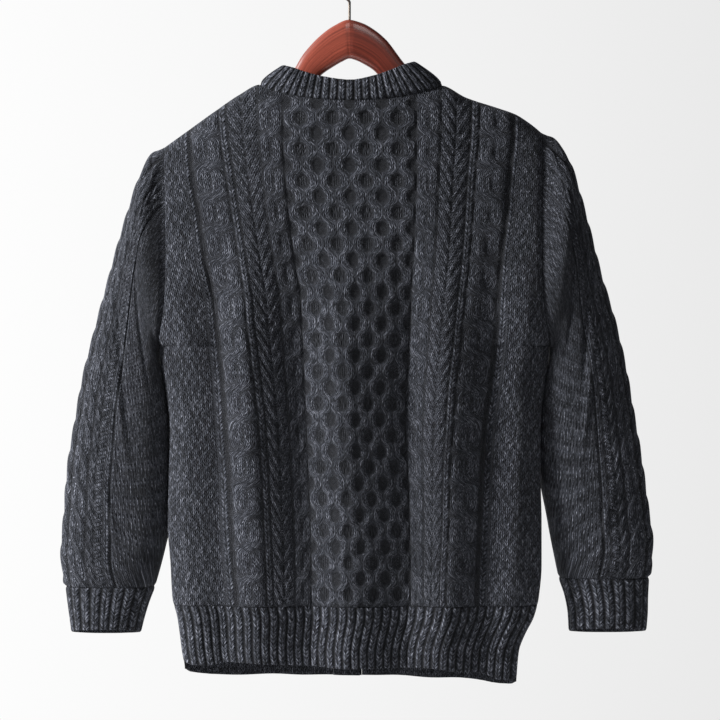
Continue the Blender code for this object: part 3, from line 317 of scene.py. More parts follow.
def rope(found, d, along, half, tall):
    # two strands swap sides once a repeat: each one's place is -A tanh(2 cos(turn)), so that it runs
    # straight between quick crossings, and it is on top while sin(turn) is above 0. A slanted strand is cut
    # wider across, and the envelope ends both at the cable's edges
    envelope = np.clip(1 - (np.abs(d) / (1.06 * half)) ** 6, 0, 1) ** 0.35
    for k in (0, 1):
        turn = math.pi * (along / body["repeat"] + k)
        sway = np.tanh(2.0 * np.cos(turn))
        place = -0.52 * half * sway
        slope = 1.04 * half * (1 - sway ** 2) * np.sin(turn) * math.pi * body["stitch"] / body["repeat"]
        across = (d - place) / (0.53 * half * np.sqrt(1 + slope ** 2))
        shape = np.clip(1 - np.abs(across) ** 2.5, 0, 1) ** 0.42
        height = tall * mm * shape * envelope * (0.78 + 0.22 * np.sin(turn))
        a = (d - place) * 0.85 + (0.5 if half < 3.5 else 0.0) + 9 * k
        b = along / rowHeight + np.clip(slope, -1.4, 1.4) * (d - place) * 0.9
        # the last field is painted shade, darker towards the strand's edge
        found = takeHigher(found, height, a, b, innerPart(across, 0.40) * np.ones(d.shape))
    return found


def wheat(found, d, along, half, tall):
    # steep chevrons that point down: crests where along / half a repeat + 0.36 |d| is whole, with a groove up
    # the middle
    away = np.abs(d)
    phase = along / (body["repeat"] / 2) + 0.36 * away
    shape = np.clip(1 - (away / half) ** 3, 0, 1) ** 0.4
    crest = np.abs(np.cos(math.pi * phase)) ** 0.7
    height = tall * mm * shape * (0.12 + 0.88 * crest) * (1 - 0.55 * np.exp(-(d / 0.40) ** 2))
    # painted shade: darker between the crests and in the groove up the middle
    inner = (0.60 + 0.40 * crest) * innerPart(away / half, 0.25) * (1 - 0.55 * np.exp(-(d / 0.50) ** 2))
    return takeHigher(found, height, phase * 2 + 0.5, along / rowHeight - away * 0.5, inner)


def narrowRib(found, d, along, half, tall):
    # a narrow column of knit stitches on the purl ground: half a circle across
    shape = np.sqrt(np.clip(1 - (d / half) ** 2, 0, 1))
    # painted shade: darker towards the rib's edge
    inner = innerPart(d / half, 0.6)
    return takeHigher(found, tall * mm * shape, 0.5 + 0.5 * d / half, along / rowHeight, inner)


def honeycomb(found, s, along):
    # eight strands, four stitches apart, sway one stitch each way, neighbours in turn towards and away from
    # each other, so that they close round cells of one repeat
    turn = 2 * math.pi * along / body["repeat"]
    sway = np.tanh(1.5 * np.cos(turn)) / math.tanh(1.5)
    inside = np.abs(s) < body["combEdge"] + 0.2
    for k in range(-4, 4):
        way = 1 if k % 2 else -1
        place = 4 * k + 2 + 0.96 * way * sway
        slope = -0.96 * way * 3.3 * math.pi * np.sin(turn) * (1 - sway ** 2) * body["stitch"] / body["repeat"]
        across = (s - place) / (pattern["combHalf"] * np.sqrt(1 + 0.6 * slope ** 2))
        height = pattern["combHeight"] * mm * np.clip(1 - np.abs(across) ** 2.2, 0, 1) ** 0.5
        height = height * (0.90 + 0.10 * way * np.sin(turn)) * inside
        b = along / rowHeight + np.clip(slope, -1.4, 1.4) * (s - place) * 0.9
        # painted shade: darker towards each strand's edge
        inner = 0.45 + 0.55 * innerPart(across, 0.45)
        found = takeHigher(found, height, (s - place) * 0.85 + 5 * k, b, inner)
    return found


def moss(found, stitch, along, where):
    # double moss: a raised level field. Its checker, one stitch wide and two rows high, is in the wool's
    # material, as bump and as painted shade
    height = np.where(where, pattern["mossHeight"] * mm, -1.0)
    return takeHigher(found, height, stitch, along / rowHeight, 2.0 * np.ones(stitch.shape))


def knitPattern(s, stitch, along, cables, mossFrom, comb=False, plainWithin=0.0):
    # the highest of all cables at each place. s is signed and counts the cables' stitches, stitch counts
    # real ones for the moss
    away = np.abs(s)
    # the ground is purl: its loops lie across, so a and b change places
    # painted shade: the purl ground between the cables is darkened to 0.8, and to 0.95 in the honeycomb
    paintedGroundShade = np.full(s.shape, 0.95 if comb else 0.8)
    found = [np.full(s.shape, -1e-6), along / rowHeight * 0.8, stitch, paintedGroundShade]
    for kind, centre, half, tall in cables:
        d = s if centre == 0 else away - centre
        make = {"rope": rope, "wheat": wheat, "rib": narrowRib}[kind]
        found = make(found, d, along, half, tall)
    if comb:
        found = honeycomb(found, s, along)
    else:
        found = moss(found, stitch, along, away < plainWithin)
    return moss(found, stitch, along, away > mossFrom)


# Meshes

def kept(count, step, dense=0):
    # places on a coarse grid: every step, closer together near both ends
    places = set(range(0, count, step)) | {count - 1}
    places |= set(range(0, dense, 2)) | set(range(count - 1, count - 1 - dense, -2))
    return np.array(sorted(p for p in places if 0 <= p < count))


def rimFaces(ring, coarse, places, closed):
    # triangles between a fine rim and the coarse rim below it: each fine edge goes to its nearest coarse
    # point
    count = len(ring) if closed else len(ring) - 1
    if closed:
        ring = np.append(ring, ring[0])
        coarse = np.append(coarse, coarse[0])
        places = np.append(places, len(ring) - 1)
    edges = np.arange(count)
    nearest = np.searchsorted((places[1:] + places[:-1]) / 2, edges + 0.5)
    fans = np.stack([ring[edges], ring[edges + 1], coarse[nearest]], axis=1)
    first = np.searchsorted(nearest, np.arange(1, len(places)))
    links = np.stack([ring[first], coarse[1:], coarse[:-1]], axis=1)
    return np.concatenate([fans, links])


def gridFaces(high, wide, shift, closed, flip=False):
    # four-sided faces between the rows of a grid; a closed one joins its last column to its first
    rows = np.arange(high - 1)[:, None] * wide
    columns = np.arange(wide if closed else wide - 1)[None, :]
    after = (columns + 1) % wide
    quads = np.stack([rows + columns, rows + wide + columns, rows + wide + after, rows + after], axis=-1)
    quads = quads.reshape(-1, 4) + shift
    return quads[:, ::-1] if flip else quads


def endCaps(count, turns):
    # fans that close a tube of count rings, to two points that come after them
    first = np.arange(turns)
    after = (first + 1) % turns
    last = (count - 1) * turns
    low = np.stack([first, after, np.full(turns, count * turns)], axis=1)
    high = np.stack([last + after, last + first, np.full(turns, count * turns + 1)], axis=1)
    return np.concatenate([low, high])


def roundBar(path, width, turns):
    # circles round a path that lies square to Y, and the path's two ends
    side = np.array([0.0, 1.0, 0.0])
    across = unit(np.cross(unit(np.gradient(path, axis=0)), side))
    around = 2 * math.pi * np.arange(turns) / turns
    ring = np.cos(around)[None, :, None] * side + np.sin(around)[None, :, None] * across[:, None, :]
    points = path[:, None, :] + width[:, None, None] * ring
    return np.concatenate([points.reshape(-1, 3), path[[0, -1]]])


def newMesh(name, points, faces):
    # a smooth mesh whose faces point outwards
    mesh = bpy.data.meshes.new(name)
    mesh.from_pydata(points.reshape(-1, 3).tolist(), [], faces)
    shape = bmesh.new()
    shape.from_mesh(mesh)
    bmesh.ops.recalc_face_normals(shape, faces=shape.faces)
    shape.to_mesh(mesh)
    shape.free()
    mesh.polygons.foreach_set("use_smooth", np.ones(len(mesh.polygons), bool))
    return mesh


def addPiece(name, mesh, material, node=None):
    # an object at the origin, in place of a node or beside the nodes
    mesh.materials.append(material)
    piece = bpy.data.objects.new(name, mesh)
    bpy.context.scene.collection.objects.link(piece)
    if node:
        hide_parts(node)
    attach(piece, "root")
    print(name, len(mesh.polygons), "faces")
    return piece


def finishMesh(name, points, quads, triangles, uv, relief, node, material):
    # a mesh with its stitch coordinates, and at each point a painted shade: how open it is to the light
    mesh = newMesh(name, points, quads.tolist() + triangles.tolist())
    corners = np.zeros(len(mesh.loops), int)
    mesh.loops.foreach_get("vertex_index", corners)
    layer = mesh.uv_layers.new(name="knit")
    layer.data.foreach_set("uv", uv[corners].astype(np.float32).ravel())
    mesh.attributes.new("relief", "FLOAT", "POINT")
    mesh.attributes["relief"].data.foreach_set("value", relief.astype(np.float32))
    mesh.set_sharp_from_angle(angle=math.radians(80))
    return addPiece(name, mesh, material, node)


def clothShell(name, node, outer, inner, rows, columns, found, closed):
    # a closed wall: the fine outside, the coarse inside under some of its rows and columns, and the rims
    # between
    high, wide = outer.shape[:2]
    shift = high * wide
    fewWide = len(columns)
    quads = gridFaces(high, wide, 0, closed)
    inside = gridFaces(len(rows), fewWide, shift, closed, flip=True)
    rims = []
    for r, few in ((0, 0), (high - 1, len(rows) - 1)):
        ring = r * wide + np.arange(wide)
        rims.append(rimFaces(ring, shift + few * fewWide + np.arange(fewWide), columns, closed))
    if not closed:
        for c, few in ((0, 0), (wide - 1, fewWide - 1)):
            ring = np.arange(high) * wide + c
            rims.append(rimFaces(ring, shift + np.arange(len(rows)) * fewWide + few, rows, False))
    points = np.concatenate([outer.reshape(-1, 3), inner.reshape(-1, 3)])
    # painted shade: higher is more open, and painted darker towards a strand's edge; moss is marked by a 2
    height, a, b, onStrand = found
    outerUv = np.stack([a, b], axis=-1).reshape(-1, 2)
    insideUv = np.stack([inner[..., 0] / body["stitch"], -inner[..., 2] / rowHeight], axis=-1).reshape(-1, 2)
    paintedOpenness = (0.62 + 0.26 * fadeIn(height, 0.0028) ** 0.8) * (0.36 + 0.64 * onStrand)
    paintedOpenness = np.where(onStrand > 1.5, 2.0, paintedOpenness)
    # the inside of the wall has a fixed painted shade of 0.6
    relief = np.concatenate([paintedOpenness.ravel(), np.full(len(insideUv), 0.6)])
    piece = finishMesh(name, points, np.concatenate([quads, inside]), np.concatenate(rims),
                       np.concatenate([outerUv, insideUv]), relief, node, wool)
    return piece


# Materials

def newMaterial(name, sockets):
    # a material, its nodes and its shader, with the shader's fixed values on its sockets
    made = bpy.data.materials.new(name)
    made.use_nodes = True
    shader = made.node_tree.nodes["Principled BSDF"]
    for socket, value in sockets.items():
        shader.inputs[socket].default_value = value
    return made, made.node_tree, shader


def woolMaterial():
    # Heathered wool spun from dark and pale fibres, knitted by hand: matt, soft-edged, with flecks along
    # the yarn.
    made, tree, shader = newMaterial("heatherWool", {
        "Roughness": 0.92, "IOR": 1.45, "Specular IOR Level": 0.25,
        "Sheen Weight": 0.12, "Sheen Roughness": 0.6, "Sheen Tint": hexColour("#b9bcc8")})
    uvMap = addNode(tree, "ShaderNodeUVMap", {"uv_map": "knit"})
    parts = addNode(tree, "ShaderNodeSeparateXYZ", None, {0: (uvMap, 0)})
    place = addNode(tree, "ShaderNodeTexCoord")
    # painted shade: how open a place is to the light, 0 to 1, and 2 in double moss
    relief = addNode(tree, "ShaderNodeAttribute", {"attribute_name": "relief"})
    # flecks of pale fibre about 1.6 mm across and 3 mm along the yarn
    fleck = addNode(tree, "ShaderNodeTexNoise", {"noise_dimensions": "2D"},
                    {"Scale": 1.0, "Detail": 3.0, "Roughness": 0.65})
    # each leg of each stitch has a tone of its own, as heather yarn does
    single = addNode(tree, "ShaderNodeTexWhiteNoise", {"noise_dimensions": "2D"})
    # single fibres, drawn 0.7 mm apart so that they show
    fibre = addNode(tree, "ShaderNodeTexNoise", None,
                    {"Vector": (place, "Object"), "Scale": 1400.0, "Detail": 2.0, "Roughness": 0.7})
    # soft patches about 45 mm wide, as balls of yarn differ
    patch = addNode(tree, "ShaderNodeTexNoise", None,
                    {"Vector": (place, "Object"), "Scale": 22.0, "Detail": 3.0, "Roughness": 0.6})

    # each row: a name, the operation, and its values or the names of earlier rows
    known = {"a": (parts, 0), "b": (parts, 1), "relief": (relief, 2), "fleck": (fleck, 0), "fibre": (fibre, 0),
             "patch": (patch, 0), "single": (single, "Value")}
    sums = (
        # one stitch is a V of two legs: leg is 0 at its middle, 1 at its edges, and the V's arms rise
        # outwards
        ("turn", "FRACT", "a"), ("off", "SUBTRACT", "turn", 0.5), ("wave", "ABSOLUTE", "off"),
        ("leg", "MULTIPLY", "wave", 2.0), ("row", "MULTIPLY_ADD", "leg", 0.95, "b"),
        # the yarn is plump across each leg, and swells once a row; in the colour
        # this is painted shade between the legs and between the rows
        ("legAngle", "MULTIPLY", "leg", math.pi), ("legSine", "SINE", "legAngle"),
        ("legRound", "MAXIMUM", "legSine", 0.0), ("plump", "POWER", "legRound", 0.6),
        ("rowAngle", "MULTIPLY", "row", 2 * math.pi), ("rowCosine", "COSINE", "rowAngle"),
        ("loop", "MULTIPLY_ADD", "rowCosine", 0.5, 0.5), ("swell", "MULTIPLY_ADD", "loop", 0.62, 0.38),
        ("yarn", "MULTIPLY", "plump", "swell"),
        # where the flecks lie, and the number of each leg and row
        ("fleckAcross", "MULTIPLY", "a", 2.7), ("fleckAlong", "MULTIPLY", "row", 1.3),
        ("legs", "MULTIPLY", "a", 2.0), ("legNumber", "FLOOR", "legs"), ("rowNumber", "FLOOR", "row"),
        # the yarn's tone
        ("fleckTone", "MULTIPLY", "fleck", 0.62), ("fibreTone", "MULTIPLY_ADD", "fibre", 0.16, "fleckTone"),
        ("patchTone", "MULTIPLY_ADD", "patch", 0.14, "fibreTone"),
        ("tone", "MULTIPLY_ADD", "single", 0.13, "patchTone"),
        ("isMoss", "GREATER_THAN", "relief", 1.5), ("notMoss", "SUBTRACT", 1.0, "isMoss"),
        # painted shade: the moss checker darkens the colour of its lower stitches; it also raises the bump
        ("mossAcross", "MULTIPLY", "a", math.pi), ("sineAcross", "SINE", "mossAcross"),
        ("mossUp", "MULTIPLY", "b", math.pi / 2), ("sineUp", "SINE", "mossUp"),
        ("checks", "MULTIPLY", "sineAcross", "sineUp"), ("steep", "MULTIPLY", "checks", 1.6),
        ("cutBelow", "MAXIMUM", "steep", -1.0), ("cutBoth", "MINIMUM", "cutBelow", 1.0),
        ("bumps", "MULTIPLY_ADD", "cutBoth", 0.26, 0.66), ("mossBumps", "MULTIPLY", "bumps", "isMoss"),
        # painted shade: how much of the yarn's colour shows over near black, and the height for the bump
        ("openPart", "MULTIPLY_ADD", "relief", "notMoss", "mossBumps"),
        ("lit", "MULTIPLY_ADD", "yarn", 0.92, 0.08),
        ("shade", "MULTIPLY", "openPart", "lit"), ("fine", "MULTIPLY_ADD", "fibre", 0.35, "yarn"),
        ("height", "MULTIPLY_ADD", "mossBumps", 1.6, "fine"),
    )
    for name, operation, *values in sums:
        sources = {k: known.get(value, value) for k, value in enumerate(values)}
        known[name] = (addNode(tree, "ShaderNodeMath", {"operation": operation}, sources), 0)
    along = addNode(tree, "ShaderNodeCombineXYZ", None, {0: known["fleckAcross"], 1: known["fleckAlong"]})
    tree.links.new(along.outputs[0], fleck.inputs["Vector"])
    numbers = addNode(tree, "ShaderNodeCombineXYZ", None, {0: known["legNumber"], 1: known["rowNumber"]})
    tree.links.new(numbers.outputs[0], single.inputs["Vector"])

    heather = ((0.40, "#1c1e23"), (0.49, "#31343c"), (0.57, "#5b5f6a"), (0.66, "#9497a3"))
    ramp = addNode(tree, "ShaderNodeValToRGB", {"stops": heather}, {0: known["tone"]})
    # painted shade: the heather is mixed towards near black #07080a where the place is shaded
    mixed = addNode(tree, "ShaderNodeMix", {"data_type": "RGBA"},
                    {"Factor": known["shade"], "A": hexColour("#07080a"), "B": (ramp, 0)})
    tree.links.new(mixed.outputs["Result"], shader.inputs["Base Color"])
    bump = addNode(tree, "ShaderNodeBump", None,
                   {"Strength": 1.0, "Distance": 0.0014, "Height": known["height"]})
    tree.links.new(bump.outputs[0], shader.inputs["Normal"])
    return made


def woodMaterial():
    # Beech stained mahogany red under clear lacquer: fine dark grain along the arms and a soft gloss.
    made, tree, shader = newMaterial("stainedBeech", {
        "Roughness": 0.38, "IOR": 1.5, "Coat Weight": 0.5, "Coat Roughness": 0.18})
    uvMap = addNode(tree, "ShaderNodeUVMap", {"uv_map": "knit"})
    # grain lines about 2 mm apart that run along the arm
    stretch = addNode(tree, "ShaderNodeMapping", None, {"Vector": (uvMap, 0), "Scale": (9.0, 420.0, 1.0)})
    grain = addNode(tree, "ShaderNodeTexNoise", None,
                    {"Vector": (stretch, 0), "Scale": 1.0, "Detail": 5.0, "Roughness": 0.6, "Distortion": 0.4})
    stain = ((0.36, "#733326"), (0.66, "#a34e3c"))
    ramp = addNode(tree, "ShaderNodeValToRGB", {"stops": stain}, {0: (grain, 0)})
    # painted shade: the arm on the right, which faces away from the light, is darkened by #b8a8a4;
    # the attribute is 0 on the left arm and 1 on the right one
    half = addNode(tree, "ShaderNodeAttribute", {"attribute_name": "relief"})
    tone = addNode(tree, "ShaderNodeMix", {"data_type": "RGBA", "blend_type": "MULTIPLY"},
                   {"Factor": (half, 2), "A": (ramp, 0), "B": hexColour("#b8a8a4")})
    tree.links.new(tone.outputs["Result"], shader.inputs["Base Color"])
    bump = addNode(tree, "ShaderNodeBump", None, {"Strength": 0.15, "Distance": 0.0003, "Height": (grain, 0)})
    tree.links.new(bump.outputs[0], shader.inputs["Normal"])
    return made


def wireMaterial():
    # Drawn steel wire, oiled dark: small rubbed patches about 1.5 mm wide and a narrow highlight.
    made, tree, shader = newMaterial("drawnSteelWire", {"Metallic": 1.0})
    place = addNode(tree, "ShaderNodeTexCoord")
    rub = addNode(tree, "ShaderNodeTexNoise", None,
                  {"Vector": (place, "Object"), "Scale": 700.0, "Detail": 3.0})
    steel = ((0.0, "#3a3531"), (1.0, "#7a726a"))
    ramp = addNode(tree, "ShaderNodeValToRGB", {"stops": steel}, {0: (rub, 0)})
    tree.links.new(ramp.outputs[0], shader.inputs["Base Color"])
    rough = addNode(tree, "ShaderNodeMapRange", None, {0: (rub, 0), 3: 0.28, 4: 0.48})
    tree.links.new(rough.outputs[0], shader.inputs["Roughness"])
    return made


def buttonMaterial():
    # Dark horn-look polyester, turned and polished: soft brown-grey clouds under a satin gloss.
    made, tree, shader = newMaterial("polishedPolyester", {"Roughness": 0.32, "IOR": 1.52})
    place = addNode(tree, "ShaderNodeTexCoord")
    # clouds about 6 mm wide
    cloud = addNode(tree, "ShaderNodeTexNoise", None,
                    {"Vector": (place, "Object"), "Scale": 160.0, "Detail": 4.0, "Distortion": 1.2})
    hornTones = ((0.35, "#17161a"), (0.70, "#3b3634"))
    ramp = addNode(tree, "ShaderNodeValToRGB", {"stops": hornTones}, {0: (cloud, 0)})
    tree.links.new(ramp.outputs[0], shader.inputs["Base Color"])
    return made


def sewingYarn():
    # The same wool, drawn out thin to sew buttons on: pale and dark plies in turn, about 2 mm a twist.
    made, tree, shader = newMaterial("sewingWool", {"Roughness": 0.9})
    place = addNode(tree, "ShaderNodeTexCoord")
    twist = addNode(tree, "ShaderNodeTexWave", {"bands_direction": "DIAGONAL"},
                    {"Vector": (place, "Object"), "Scale": 300.0, "Distortion": 1.0})
    plies = ((0.0, "#22242a"), (1.0, "#5c606e"))
    ramp = addNode(tree, "ShaderNodeValToRGB", {"stops": plies}, {0: (twist, 1)})
    tree.links.new(ramp.outputs[0], shader.inputs["Base Color"])
    return made


wool = woolMaterial()
wood = woodMaterial()
wire = wireMaterial()
horn = buttonMaterial()
yarnPlain = sewingYarn()
print("materials made")


# Body panels

panels = {
    "back": {"side": -1, "neck": backNeck, "acrossStep": 0.43, "edgeColumns": 30, "rowsAbove": 130,
             "rowsBelow": 160, "flat": (0.49, 0.62), "area": 0.262},
    "left_front": {"side": 1, "neck": frontNeck, "acrossStep": 0.52, "edgeColumns": 26, "rowsAbove": 110,
                   "rowsBelow": 140, "flat": (0.24, 0.60), "area": 0.118},
    "right_front": {"side": 1, "neck": frontNeck, "acrossStep": 0.52, "edgeColumns": 26, "rowsAbove": 110,
                    "rowsBelow": 140, "flat": (0.24, 0.60), "area": 0.118},
}
# stitches from the middle of the back, and the column of bodyLines that says where they are
stitchLines = [(-60.0, 1), (-46.0, 2), (-33.0, 3), (-16.0, 4), (16.0, 5), (33.0, 6), (46.0, 7), (60.0, 8)]


def placeX(places, z, name):
    # x of a column: stitches up to the last rib, then shares of the way to the side; in a front, 0 is its
    # front edge
    found = np.zeros(np.broadcast(places, z).shape)
    value = np.clip(places, -body["lastRib"], body["lastRib"])
    for (low, left), (high, right) in zip(stitchLines[1:-1], stitchLines[2:-1]):
        inside = (value >= low) & (value <= high)
        share = (value - low) / (high - low)
        a = bodyLine(z, left)
        found = np.where(inside, a + (bodyLine(z, right) - a) * share, found)
    edge = np.where(places < 0, bodyLine(z, 1), bodyLine(z, 8))
    found = found + (edge - found) * np.clip(np.abs(places) - body["lastRib"], 0, 1)
    if name == "back":
        return found
    start = body["leftFrontEdge"] if "left" in name else body["rightFrontEdge"]
    comb = bodyLine(z, 4 if "left" in name else 5)
    share = np.abs(places) / body["combEdge"]
    return np.where(share < 1, start + (comb - start) * share, found)


def stitchAt(x, z):
    # stitches from the middle of the back at a point: shares of the way between the table's lines
    found = np.zeros(x.shape)
    for (low, left), (high, right) in zip(stitchLines, stitchLines[1:]):
        a = bodyLine(z, left)
        b = bodyLine(z, right)
        inside = (x >= a) & (x <= b)
        found = np.where(inside, low + (high - low) * (x - a) / (b - a), found)
    return found


def panelBase(name, plan):
    # base points and normals of a panel: columns down the stitches, closer together towards the sides by a
    # power, and rows close together over the hanger's arm. The top row is sought in turns, since x and z
    # depend on each other there. A front's columns keep clear of 0, so that their sign says which front
    # they are in
    side = plan["side"]
    lastRib = body["lastRib"]
    rim = lastRib + 1 - (1 - np.arange(1, plan["edgeColumns"] + 1) / plan["edgeColumns"]) ** 1.7
    half = np.concatenate([np.linspace(0, lastRib, int(round(lastRib / plan["acrossStep"]))), rim])
    if name == "back":
        places = np.concatenate([-half[:0:-1], half])
    else:
        places = -half[::-1] - 1e-9 if "left" in name else half + 1e-9
    ends = (plan["neck"][0, 0], plan["neck"][-1, 0])
    top = np.full(len(places), -0.15)
    for _ in range(40):
        x = placeX(places, top, name)
        inNeck = (x > ends[0]) & (x < ends[1])
        line = np.where(inNeck, smooth(x, plan["neck"][:, 0], plan["neck"][:, 1]), shoulderZ(x))
        top = 0.5 * top + 0.5 * line
    shares = (np.arange(plan["rowsAbove"] + 1) / plan["rowsAbove"])[:, None] ** 1.4
    above = top[None, :] + (body["underarm"] - top[None, :]) * shares
    bottom = body["weltTop"] + body["seam"] / 2
    below = np.linspace(body["underarm"], bottom, plan["rowsBelow"] + 1)[1:]
    z = np.concatenate([above, np.repeat(below[:, None], len(places), axis=1)])
    x = placeX(places[None, :], z, name)
    y = panelY(x, z, side)
    normal = panelNormals(x, z, side)
    onShoulder = (x[0] <= ends[0] + 1e-4) | (x[0] >= ends[1] - 1e-4)
    y[0, onShoulder] = middleY(x[0], z[0])[onShoulder] + side * body["seam"] / 2
    normal[0, onShoulder, 1] = 0
    # at the sides the panel ends at a seam: against the sleeve above the underarm, against its neighbour
    # below it
    for column, way in ((0, -1), (len(places) - 1, 1)):
        if abs(places[column]) < lastRib + 0.5:
            normal[:, column, 0] = 0
            continue
        upper = z[:, column] > body["underarm"] - 1e-6
        x[upper, column] -= way * 0.0002
        normal[upper, column, 0] = 0
        normal[~upper, column] = (way, 0, 0)
        y[~upper, column] = middleY(x[:, column], z[:, column])[~upper] + side * body["seam"] / 2
        last = np.flatnonzero(upper)[-1]
        y[last, column] = middleY(x[last, column], z[last, column]) + side * body["seam"] / 2
        normal[last, column] = (0, 0, -1)
        normal[0, column] = (0, 0, 1)
    normal[-1, :, 2] = 0
    return np.stack([x, y, z], axis=-1), unit(normal)


def wallDepth(points):
    # the wall thins to two fifths at the underarms, where the cloth turns back on itself
    near = np.full(points.shape[:-1], 1.0)
    for column in (1, 8):
        x = float(bodyLine(body["underarm"], column))
        place = np.array([x, float(middleY(x, body["underarm"])), body["underarm"]])
        near = np.minimum(near, np.linalg.norm(points - place, axis=-1))
    thin = body["underarmThin"] * np.exp(-(near / body["underarmReach"]) ** 2)
    return (body["wall"] * (1 - thin))[..., None]


def buildPanel(name, plan):
    # the pattern's height is added along the normals, and fades out at the seams and the front edges
    base, normal = panelBase(name, plan)
    x, z = base[..., 0], base[..., 2]
    s = stitchAt(x, z)
    lastRib = body["lastRib"]
    ribX = np.where(x < 0, bodyLine(z, 2), bodyLine(z, 7))
    stitch = np.where(np.abs(s) > lastRib, lastRib + np.abs(x - ribX) / body["stitch"], np.abs(s))
    isBack = name == "back"
    found = knitPattern(s, stitch, -z, pattern["bodyCables"], pattern["bodyMossFrom"], isBack,
                        0.0 if isBack else body["combEdge"])
    fade = fadeIn(z[:1] - z, 0.008) * fadeIn(z - z[-1:], 0.004)
    side = np.minimum(x - bodyLine(z, 1), bodyLine(z, 8) - x)
    fade = fade * np.clip(side / 0.006, 0.1, 1)
    if not isBack:
        front = body["leftFrontEdge"] if "left" in name else body["rightFrontEdge"]
        fade = fade * fadeIn(np.abs(x - front), 0.008)
    height = np.maximum(found[0], 0) * fade
    outer = base + normal * height[..., None]
    rows = kept(len(base), 6, 14)
    columns = kept(base.shape[1], 6, 22)
    inner = (base - normal * wallDepth(base))[np.ix_(rows, columns)]
    clothShell(name + "_cloth", name, outer, inner, rows, columns, [height] + found[1:], False)
    return base, normal


seams = {name: buildPanel(name, plan) for name, plan in panels.items()}


# Welts: 1x1 rib between two sides, down to the hem

def ribProfile(distance):
    # rounded ribs with a narrow furrow: |cos| to the power 0.75. a crosses one knit column on each rib
    share = distance / pattern["ribPitch"]
    height = np.abs(np.cos(math.pi * share)) ** 0.75
    local = share - np.round(share)
    # the third value is painted shade, dark in the furrow between ribs
    return height, np.round(share) + 0.5 + np.clip(local / 0.76, -0.5, 0.5), innerPart(local / 0.42, 0.40)


def ribGrow(share, start, end):
    # ribs rise by a root from a seam, and sink by 60 percent towards the free edge: share is 0 to 1 on the
    # way
    return np.sqrt(fadeIn(share, start)) * (1 - 0.6 * fadeIn(share - 1 + end, end) ** 2)


def ribShell(name, node, grid, normal, distance, grow, b, rows, columns, closed, edgeLift=0.0):
    # ribs raised along the normals, and a plain wall behind them, whose last row may be lifted a little
    height, a, deep = ribProfile(distance + 0 * grid[..., 0])
    height = pattern["ribHeight"] * height * grow
    outer = grid + normal * height[..., None]
    inner = (grid - normal * body["wall"])[np.ix_(rows, columns)]
    inner[-1, :, 2] += edgeLift
    # painted shade from the ribs' height and furrows
    clothShell(name, node, outer, inner, rows, columns, [height * 1.4, a, b, deep], closed)


def buildWelt(name, node, low, high, hem, side):
    # a surface between two sides and down to the hem, whose x and z are sought in turns
    start = body["weltTop"] - body["seam"] / 2
    middle = body["weltMiddle"]
    ribs = int(round(abs(high(middle) - low(middle)) / pattern["ribPitch"]))
    columns = ribs * 8 + 1
    share = np.linspace(0, 1, columns)[None, :]
    down = np.concatenate([[0, 0.006, 0.018, 0.035], np.linspace(0.06, 0.97, 26), [0.985, 0.995, 1]])[:, None]
    z = np.full((len(down), columns), start)
    for _ in range(30):
        x = low(z) + (high(z) - low(z)) * share
        z = start + (smooth(x, hem[:, 0], hem[:, 1]) - start) * down
    y = panelY(x, z, side)
    normal = panelNormals(x, z, side)
    # a side seam is over 100 mm from the middle; a front edge is nearer and ends square
    for column, edge, way in ((0, low, -1), (columns - 1, high, 1)):
        if abs(edge(middle)) > 0.1:
            normal[:, column] = (way, 0, 0)
            y[:, column] = middleY(x[:, column], z[:, column]) + side * body["seam"] / 2
        else:
            normal[:, column, 0] = 0
    normal[0, :, 2] = 0
    rows = np.array([0, 3, 10, 18, 26, len(down) - 2, len(down) - 1])
    distance = share * ribs * pattern["ribPitch"] + pattern["ribPitch"] / 2
    ribShell(name, node, np.stack([x, y, z], axis=-1), unit(normal), distance, ribGrow(down, 0.04, 0.03),
             -z / rowHeight, rows, kept(columns, 8, 8), False, 0.00025)


def leftSide(z):
    # x of the left side seam
    return bodyLine(z, 1)


def rightSide(z):
    # x of the right side seam
    return bodyLine(z, 8)


def leftFrontEdge(z):
    # x of the left front's straight edge
    return body["leftFrontEdge"] + 0 * z


def rightFrontEdge(z):
    # x of the right front's straight edge
    return body["rightFrontEdge"] + 0 * z


for node, low, high, hem, side, flat in (
        ("back_welt", leftSide, rightSide, backHem, -1, (0.44, 0.072)),
        ("left_front_welt", leftSide, leftFrontEdge, frontHem, 1, (0.205, 0.072)),
        ("right_front_welt", rightFrontEdge, rightSide, frontHem, 1, (0.205, 0.072))):
    buildWelt(node + "_cloth", node, low, high, hem, side)
print("body made")


# Sleeves and cuffs

# Each row: share of the length, y of the middle, half depth, in both sleeves
sleeveForm = np.array([
    (0.00, 11, 38), (0.03, 14, 38), (0.08, 18, 38), (0.15, 23, 38.5), (0.24, 29, 39.5), (0.34, 32, 39.5),
    (0.44, 32, 39), (0.54, 31, 38), (0.64, 30, 36.5), (0.74, 29, 35), (0.84, 29, 33), (0.93, 28, 31),
    (1.00, 28, 28)])
